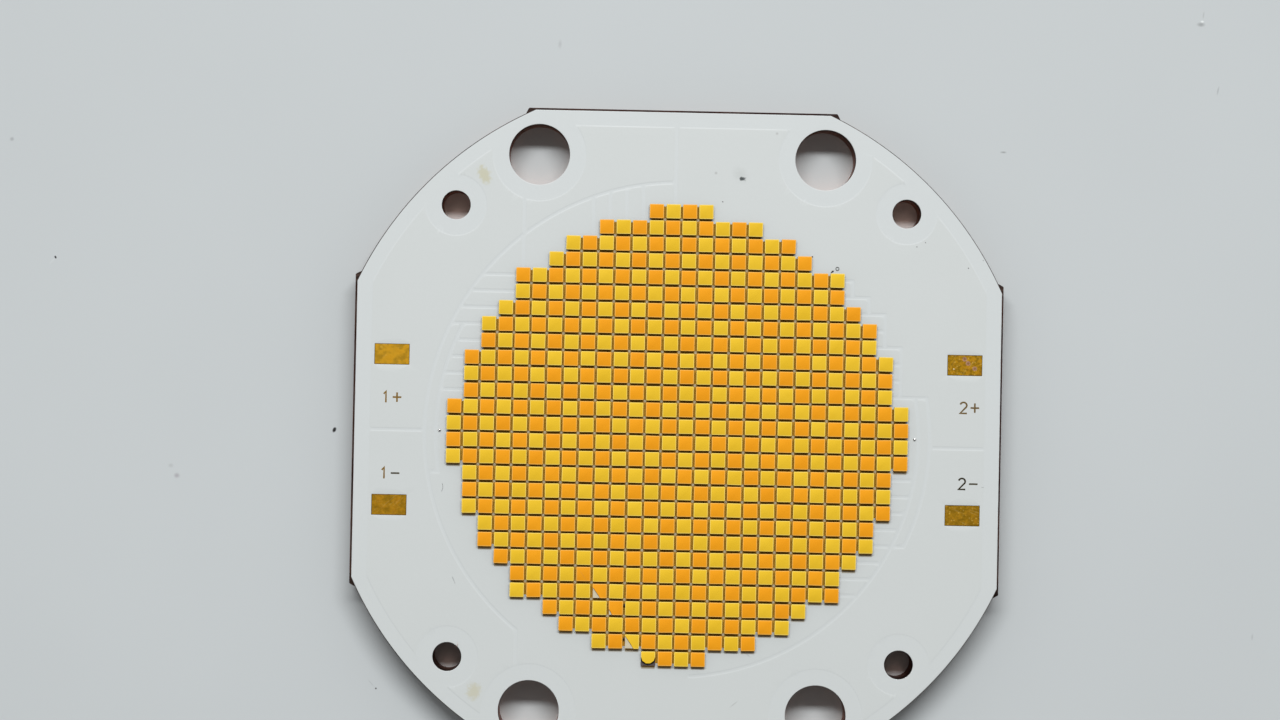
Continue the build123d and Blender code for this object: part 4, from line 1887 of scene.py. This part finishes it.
@dataclass
class Legends:
    """Plain numbers and signs beside the pads, as thin flat strokes."""

    height: float = 1.08
    width: float = 0.68
    stroke: float = 0.165
    gap: float = 1.12
    sign: float = 0.85
    lift: float = 0.004
    thickness: float = 0.02
    stack: float = 0.001

    def strokes(self, figure: str) -> list[Array]:
        """Centre lines of a figure's strokes about its middle.

        The head of the 2 is an ellipse's arc, (w * cos a, h * sin a) about a point above the middle.

        Args:
            figure: 1, 2, plus or minus.

        Returns:
            One line of flat points for each stroke.
        """
        h, w, s = self.height / 2, self.width / 2, self.sign / 2
        bow = np.linspace(math.radians(165), math.radians(-38), 13)
        head = np.stack([0.95 * w * np.cos(bow), 0.45 * h + 0.55 * h * np.sin(bow)], -1)
        bar = np.array([[-s, 0.0], [s, 0.0]])
        shapes = {
            "1": [np.array([[-0.55 * w, 0.55 * h], [0.1 * w, h], [0.1 * w, -h]])],
            "2": [np.concatenate([head, [[-0.95 * w, -h], [w, -h]]])],
            "+": [bar, np.array([[0.0, -1.1 * s], [0.0, 1.1 * s]])],
            "-": [bar],
        }
        return shapes[figure]

    def ribbon(self, line: Array, z: float) -> Patch:
        """A flat ribbon: each point of a line moves half a stroke to both sides, along its runs' mean normal.

        Args:
            line: The line's flat points.
            z: Height of its upper face.

        Returns:
            The ribbon, closed all round.
        """
        runs = np.diff(line, axis=0)
        runs /= np.linalg.norm(runs, axis=1)[:, None]
        normals = np.stack([-runs[:, 1], runs[:, 0]], -1)
        before, after = np.vstack([normals[:1], normals]), np.vstack([normals, normals[-1:]])
        mean = before + after
        mean /= np.linalg.norm(mean, axis=1)[:, None]
        spread = self.stroke / 2 / np.maximum((mean * before).sum(axis=1), 0.5)
        sides = np.stack([line - mean * spread[:, None], line + mean * spread[:, None]])
        upper, lower = (at_height(sides, level) for level in (z, z - self.thickness))
        ring = np.concatenate([np.arange(len(line)), 2 * len(line) - 1 - np.arange(len(line))])
        wall = tube(np.stack([face.reshape(-1, 3)[ring] for face in (lower, upper)]))
        top, under = (sheet_grid(face[..., 0], face[..., 1], face[..., 2]) for face in (upper, lower))
        return join([top, Patch(under.points, [under.faces[0][:, ::-1]]), wall])

    def build(self) -> None:
        """Builds the four legends where the photograph has them, each a figure and a sign."""
        base = top_of("solder_mask") + self.lift
        gold, brown = (0.30, 0.165, 0.014), (0.20, 0.125, 0.035)
        grey, black = (0.10, 0.085, 0.050), (0.040, 0.030, 0.010)
        rows = {
            "legend_upper_left": ("1+", -28.18, 3.17, (gold, gold)),
            "legend_lower_left": ("1-", -28.21, -4.30, (gold, grey)),
            "legend_upper_right": ("2+", 28.70, 3.22, (brown, brown)),
            "legend_lower_right": ("2-", 28.68, -4.27, (black, grey)),
        }
        for name, (text, x, y, colours) in rows.items():
            for part, figure, side, colour in zip(("figure", "sign"), text, (-1, 1), colours):
                lines = [line + [x + side * self.gap / 2, y] for line in self.strokes(figure)]
                patches = [self.ribbon(line, base + self.stack * order) for order, line in enumerate(lines)]
                darker: Colour = tuple(0.6 * shade for shade in colour)
                tones = (colour, darker, darker)
                ink = PlainFinish(f"{name}_{part}_ink", *tones, grain=6000.0, metallic=0.3, roughness=0.45)
                make_piece(f"{name}_{part}", join(patches), ink.material(), (), 60.0)


@dataclass(frozen=True)
class Speck:
    """A crumb of dirt on the board: its middle, half its length and width, its height and its turn in degrees."""

    name: str
    x: float
    y: float
    length: float
    width: float
    rise: float
    turn: float


@dataclass(frozen=True)
class Hair:
    """A fine hair or sliver: start + run * share + bend * share squared, for a share from 0 to 1."""

    name: str
    start: Pair
    run: Pair
    bend: float
    radius: float
    lift: float
    wave: float = 0.0
    arch: float = 0.0
    points: int = 14
    thinning: float = 0.0

    def line(self, floor: float) -> Array:
        """The hair's centre line over a floor.

        Args:
            floor: Height of the floor.

        Returns:
            The points.
        """
        share = np.linspace(0, 1, self.points)
        x = self.start[0] + self.run[0] * share + self.bend * share**2 + self.wave * np.sin(4 * share)
        y = self.start[1] + self.run[1] * share
        return np.stack([x, y, floor + self.lift + self.arch * np.sin(math.pi * share)], -1)

    def radii(self) -> Array:
        """Its radius along the line."""
        return self.radius * (1 - self.thinning * np.linspace(0, 1, self.points))


@dataclass
class Dirt:
    """Crumbs, a tiny ring, hairs and a copper sliver that lie on the board."""

    specks: tuple[Speck, ...] = (
        Speck("speck_top", 4.02, 23.04, 0.07, 0.05, 0.03, 20.0),
        Speck("speck_ring_a", 14.96, 16.36, 0.17, 0.10, 0.05, 30.0),
        Speck("speck_ring_b", 12.97, 17.80, 0.09, 0.06, 0.04, -30.0),
        Speck("speck_right_a", 28.38, 16.99, 0.06, 0.05, 0.03, 0.0),
        Speck("speck_right_b", 24.10, 19.43, 0.05, 0.05, 0.03, 0.0),
        Speck("speck_between_chips", -4.86, -16.80, 0.14, 0.085, 0.34, 85.0),
        Speck("speck_by_torn_chip", -4.87, -20.12, 0.13, 0.085, 0.32, 80.0),
    )
    levels: tuple[Pair, ...] = ((1.0, 0.0), (1.0, 0.25), (0.8, 0.7), (0.4, 0.97))
    corners: int = 14
    sunk: float = 0.01
    ring_middle: Pair = (15.45, 16.66)
    ring_size: Pair = (0.15, 0.17)
    ring_wire: float = 0.03
    ring_lift: float = 0.035
    hairs: tuple[Hair, ...] = (
        Hair("fine_hair", (-23.03, -5.20), (0.42, -0.79), -0.46, 0.012, 0.02),
        Hair("pale_sliver", (-3.20, -22.28), (0.0, -0.50), 0.28, 0.028, 0.06),
        Hair(
            "copper_hair",
            (-21.35, -21.20),
            (0.22, 0.45),
            0.0,
            radius=0.022 * 1.15,
            lift=0.03,
            wave=0.10,
            arch=0.10,
            points=16,
            thinning=1 / 1.15,
        ),
    )

    def crumb(self, speck: Speck, floor: float, random: np.random.Generator) -> Patch:
        """A low lump: turned ellipse rings whose radii a few sines make uneven, closing towards the top.

        Args:
            speck: The crumb.
            floor: Height that it lies on.
            random: Source of its unevenness.

        Returns:
            The lump.
        """
        angle = np.linspace(0, math.tau, self.corners, endpoint=False)
        phase = random.uniform(0, 6, 3)
        uneven = 1 + ripple(angle, [(0.16, 2, phase[0]), (0.10, 3, phase[1]), (0.06, 5, phase[2])])
        cos, sin = math.cos(math.radians(speck.turn)), math.sin(math.radians(speck.turn))
        rings = []
        for share, z in self.levels:
            a, b = speck.length * share * uneven * np.cos(angle), speck.width * share * uneven * np.sin(angle)
            flat = np.stack([speck.x + a * cos - b * sin, speck.y + a * sin + b * cos], -1)
            rings.append(at_height(flat, floor + z * speck.rise))
        return tube(np.stack(rings), closed=True)

    def wire(self, line: Array, radius: Array, sides: int = 8) -> Patch:
        """A thin round wire: circles across a line, line + radius * (cos a * side + sin a * up), with closed ends.

        Args:
            line: Points of its centre line.
            radius: Its radius at each.
            sides: Corners of a circle.

        Returns:
            The wire.
        """
        ahead = np.gradient(line, axis=0)
        ahead /= np.linalg.norm(ahead, axis=1)[:, None]
        side = np.cross(ahead, [0.0, 0.0, 1.0])
        side /= np.linalg.norm(side, axis=1)[:, None]
        up = np.cross(side, ahead)
        angle = np.linspace(0, math.tau, sides, endpoint=False)[None, :, None]
        spokes = np.cos(angle) * side[:, None] + np.sin(angle) * up[:, None]
        return tube(line[:, None] + radius[:, None, None] * spokes, inward=True, closed=True)

    def build(self) -> None:
        """Builds the crumbs, the ring and the hairs."""
        random = np.random.default_rng(SEED + 1)
        tones = (0.025, 0.025, 0.022), (0.06, 0.055, 0.05), (0.01, 0.01, 0.01)
        dark = PlainFinish("dark_dirt", *tones, grain=6000.0, roughness=0.7).material()
        floor = top_of("solder_mask") - self.sunk
        for speck in self.specks:
            make_piece(speck.name, self.crumb(speck, floor, random), dark, sharp_angle=60.0)
        turn = np.linspace(0, math.tau, 22)
        loop = at_height(self.ring_middle + polar(1.0, turn) * self.ring_size, floor + self.ring_lift)
        make_piece("dirt_ring", self.wire(loop, np.full(len(turn), self.ring_wire)), dark, sharp_angle=60.0)
        pale = PlainFinish("pale_sliver", (0.75, 0.74, 0.70), (0.66, 0.65, 0.60), (0.5, 0.5, 0.48)).material()
        copper = CopperFinish().material("copper_hair_metal", 0.6)
        for hair, material, slot in zip(self.hairs, (dark, pale, copper), (None, None, "copper")):
            make_piece(hair.name, self.wire(hair.line(floor), hair.radii()), material, sharp_angle=60.0)


@dataclass
class HiddenLayers:
    """The resin under the circuit and the foil under the white coat, which keep their CAD shapes."""

    def build(self) -> None:
        """Dresses the CAD nodes."""
        resin = PlainFinish("resin", (0.50, 0.50, 0.42), (0.42, 0.42, 0.35), (0.30, 0.30, 0.25), roughness=0.55)
        dress("dielectric_layer", resin.material())
        tones = (0.72, 0.40, 0.28), (0.60, 0.32, 0.22), (0.35, 0.2, 0.15)
        foil = PlainFinish("foil_copper", *tones, grain=1500.0, metallic=1.0, roughness=0.4).material()
        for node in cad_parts:
            if node.startswith("foil_"):
                dress(node, foil)


# Surroundings


@dataclass
class Studio:
    """The pale table, the soft light from the far side and the camera over the board."""

    table_colour: Colour = (0.565, 0.600, 0.610)
    sky: float = 0.80
    zenith_loss: float = 0.92
    far_gain: float = 0.55
    key_place: tuple[float, float, float] = (0.0, 200.0, 280.0)
    key_size: Pair = (328.0, 70.0)
    key_power: float = 2.04
    camera_distance: float = 230.0
    aim: Pair = (-3.82, 7.29)
    lean: Pair = (-2.24, -2.67)
    roll: float = 1.147
    picture_width: float = 125.74
    table_half: float = 900.0
    marks: tuple[Spot, ...] = (
        Spot(-34.08, -0.22, 0.25, 0.17, (0.02, 0.02, 0.02), 1.0, turn=62.0, softness=0.35, raggedness=0.5),
        Spot(-62.18, 16.40, 0.14, 0.09, (0.02, 0.02, 0.02), 1.0, turn=-65.0, softness=0.35, raggedness=0.4),
        Spot(-62.50, 16.02, 0.33, 0.03, (0.78, 0.80, 0.80), 0.5, turn=48.0),
        Spot(51.73, 42.05, 0.30, 0.17, (0.22, 0.23, 0.23), 0.6, softness=0.8, raggedness=0.4),
        Spot(51.86, 42.36, 0.14, 0.09, (0.85, 0.88, 0.88), 0.8, softness=0.7, raggedness=0.4),
        Spot(51.98, 43.02, 0.30, 0.06, (0.36, 0.38, 0.38), 0.5, turn=84.0, softness=0.8),
        Spot(-12.40, 38.72, 0.32, 0.14, (0.42, 0.44, 0.45), 0.6, turn=88.0, softness=0.9, raggedness=0.4),
        Spot(-49.64, -5.08, 0.22, 0.20, (0.32, 0.30, 0.33), 0.65, softness=0.9, raggedness=0.4),
        Spot(-50.26, -4.10, 0.20, 0.16, (0.40, 0.42, 0.42), 0.5, softness=0.9, raggedness=0.4),
        Spot(32.14, 28.83, 0.24, 0.08, (0.18, 0.19, 0.19), 0.6, softness=0.8, raggedness=0.4),
        Spot(53.55, 35.44, 0.36, 0.07, (0.34, 0.36, 0.37), 0.6, turn=78.0, softness=0.7),
        Spot(57.92, -19.11, 0.30, 0.08, (0.38, 0.40, 0.41), 0.5, turn=84.0, softness=0.8),
        Spot(-29.41, -25.87, 0.08, 0.08, (0.05, 0.05, 0.05), 1.0, softness=0.5, raggedness=0.2),
        Spot(-29.90, -25.35, 0.35, 0.04, (0.38, 0.40, 0.41), 0.5, turn=-48.0, softness=0.8, raggedness=2.0),
        Spot(-66.77, 28.09, 0.18, 0.16, (0.30, 0.31, 0.32), 0.6, softness=0.8, raggedness=0.4),
    )

    def build(self) -> None:
        """Builds the table, world, lamp and camera."""
        self.table()
        self.light()
        self.camera()
        bpy.context.scene.view_settings.view_transform = "Standard"

    def table(self) -> None:
        """Lays a wide flat table at the height that the board rests on."""
        line = np.linspace(-self.table_half, self.table_half, 3)
        x, y = np.meshgrid(line, line)
        patch = sheet_grid(x, y, np.zeros_like(x))
        mesh = bpy.data.meshes.new("table")
        mesh.from_pydata((patch.points * MM).tolist(), [], patch.faces[0].tolist())
        mesh.materials.append(self.table_material())
        top = bpy.data.objects.new("table", mesh)
        bpy.context.scene.collection.objects.link(top)

    def table_material(self) -> Material:
        """Makes the pale matte table top with faint clouds.

        Returns:
            The material.
        """
        surface = Surface("table_top")
        clouds = surface.mottle(grain=25.0, detail=3.0, contrast=1.6)
        darker: Colour = tuple(0.96 * part for part in self.table_colour)
        colour = surface.stained(surface.blend(clouds, self.table_colour, darker), self.marks)
        return surface.finish(colour, 0.7, Specular_IOR_Level=0.3)

    def light(self) -> None:
        """Lights the board by a white sky, dimmer overhead, and one upright lamp beyond the board's upper edge."""
        world = bpy.data.worlds.new("pale_sky")
        world.use_nodes = True
        sheet = Sheet(world.node_tree)
        _, ahead, up = sheet.split(sheet.add("ShaderNodeTexCoord").outputs["Generated"])
        level = sheet.span(up, 0.0, 1.0, self.sky, self.sky * (1 - self.zenith_loss), smooth=False)
        far = sheet.span(ahead, -1.0, 1.0, 1 - self.far_gain, 1 + self.far_gain, smooth=False)
        background = world.node_tree.nodes["Background"]
        sheet.feed(background.inputs["Color"], (1.0, 1.0, 1.0))
        sheet.feed(background.inputs["Strength"], sheet.sum("MULTIPLY", level, far))
        bpy.context.scene.world = world
        lamp = bpy.data.lights.new("window_light", "AREA")
        lamp.shape = "RECTANGLE"
        lamp.size, lamp.size_y = (side * MM for side in self.key_size)
        lamp.energy = self.key_power
        holder = bpy.data.objects.new("window_light", lamp)
        holder.location = Vector(self.key_place) * MM
        holder.rotation_euler = Vector((0.0, -1.0, 0.0)).to_track_quat("-Z", "Y").to_euler()
        bpy.context.scene.collection.objects.link(holder)

    def camera(self) -> None:
        """Sets a camera almost square over the board, turned a little, as wide as the photograph."""
        target = Vector((*self.aim, top_of("orange_chips_rows_13_14")))
        eye = target + Vector((*self.lean, self.camera_distance))
        back = (eye - target).normalized()
        roll = math.radians(self.roll)
        right = Vector((-math.sin(roll), math.cos(roll), 0.0)).cross(back).normalized()
        data = bpy.data.cameras.new("camera")
        data.sensor_width = 36.0
        data.lens = data.sensor_width * (eye - target).length / self.picture_width
        data.clip_start, data.clip_end = 0.01, 10.0
        holder = bpy.data.objects.new("camera", data)
        turn = Matrix((right, back.cross(right), back)).transposed()
        holder.matrix_world = Matrix.Translation(eye * MM) @ turn.to_4x4()
        bpy.context.scene.collection.objects.link(holder)
        bpy.context.scene.camera = holder


def main() -> None:
    """Builds every sub-assembly and the surroundings."""
    logging.basicConfig(level=logging.INFO, format="%(name)s %(message)s")
    for part in (CopperPlate, HiddenLayers, WhiteCoat, SolderPads, CentreMarks, Legends, ChipField, Dirt, Studio):
        log.info("building %s", part.__name__)
        part().build()


if __name__ == "__main__":
    main()
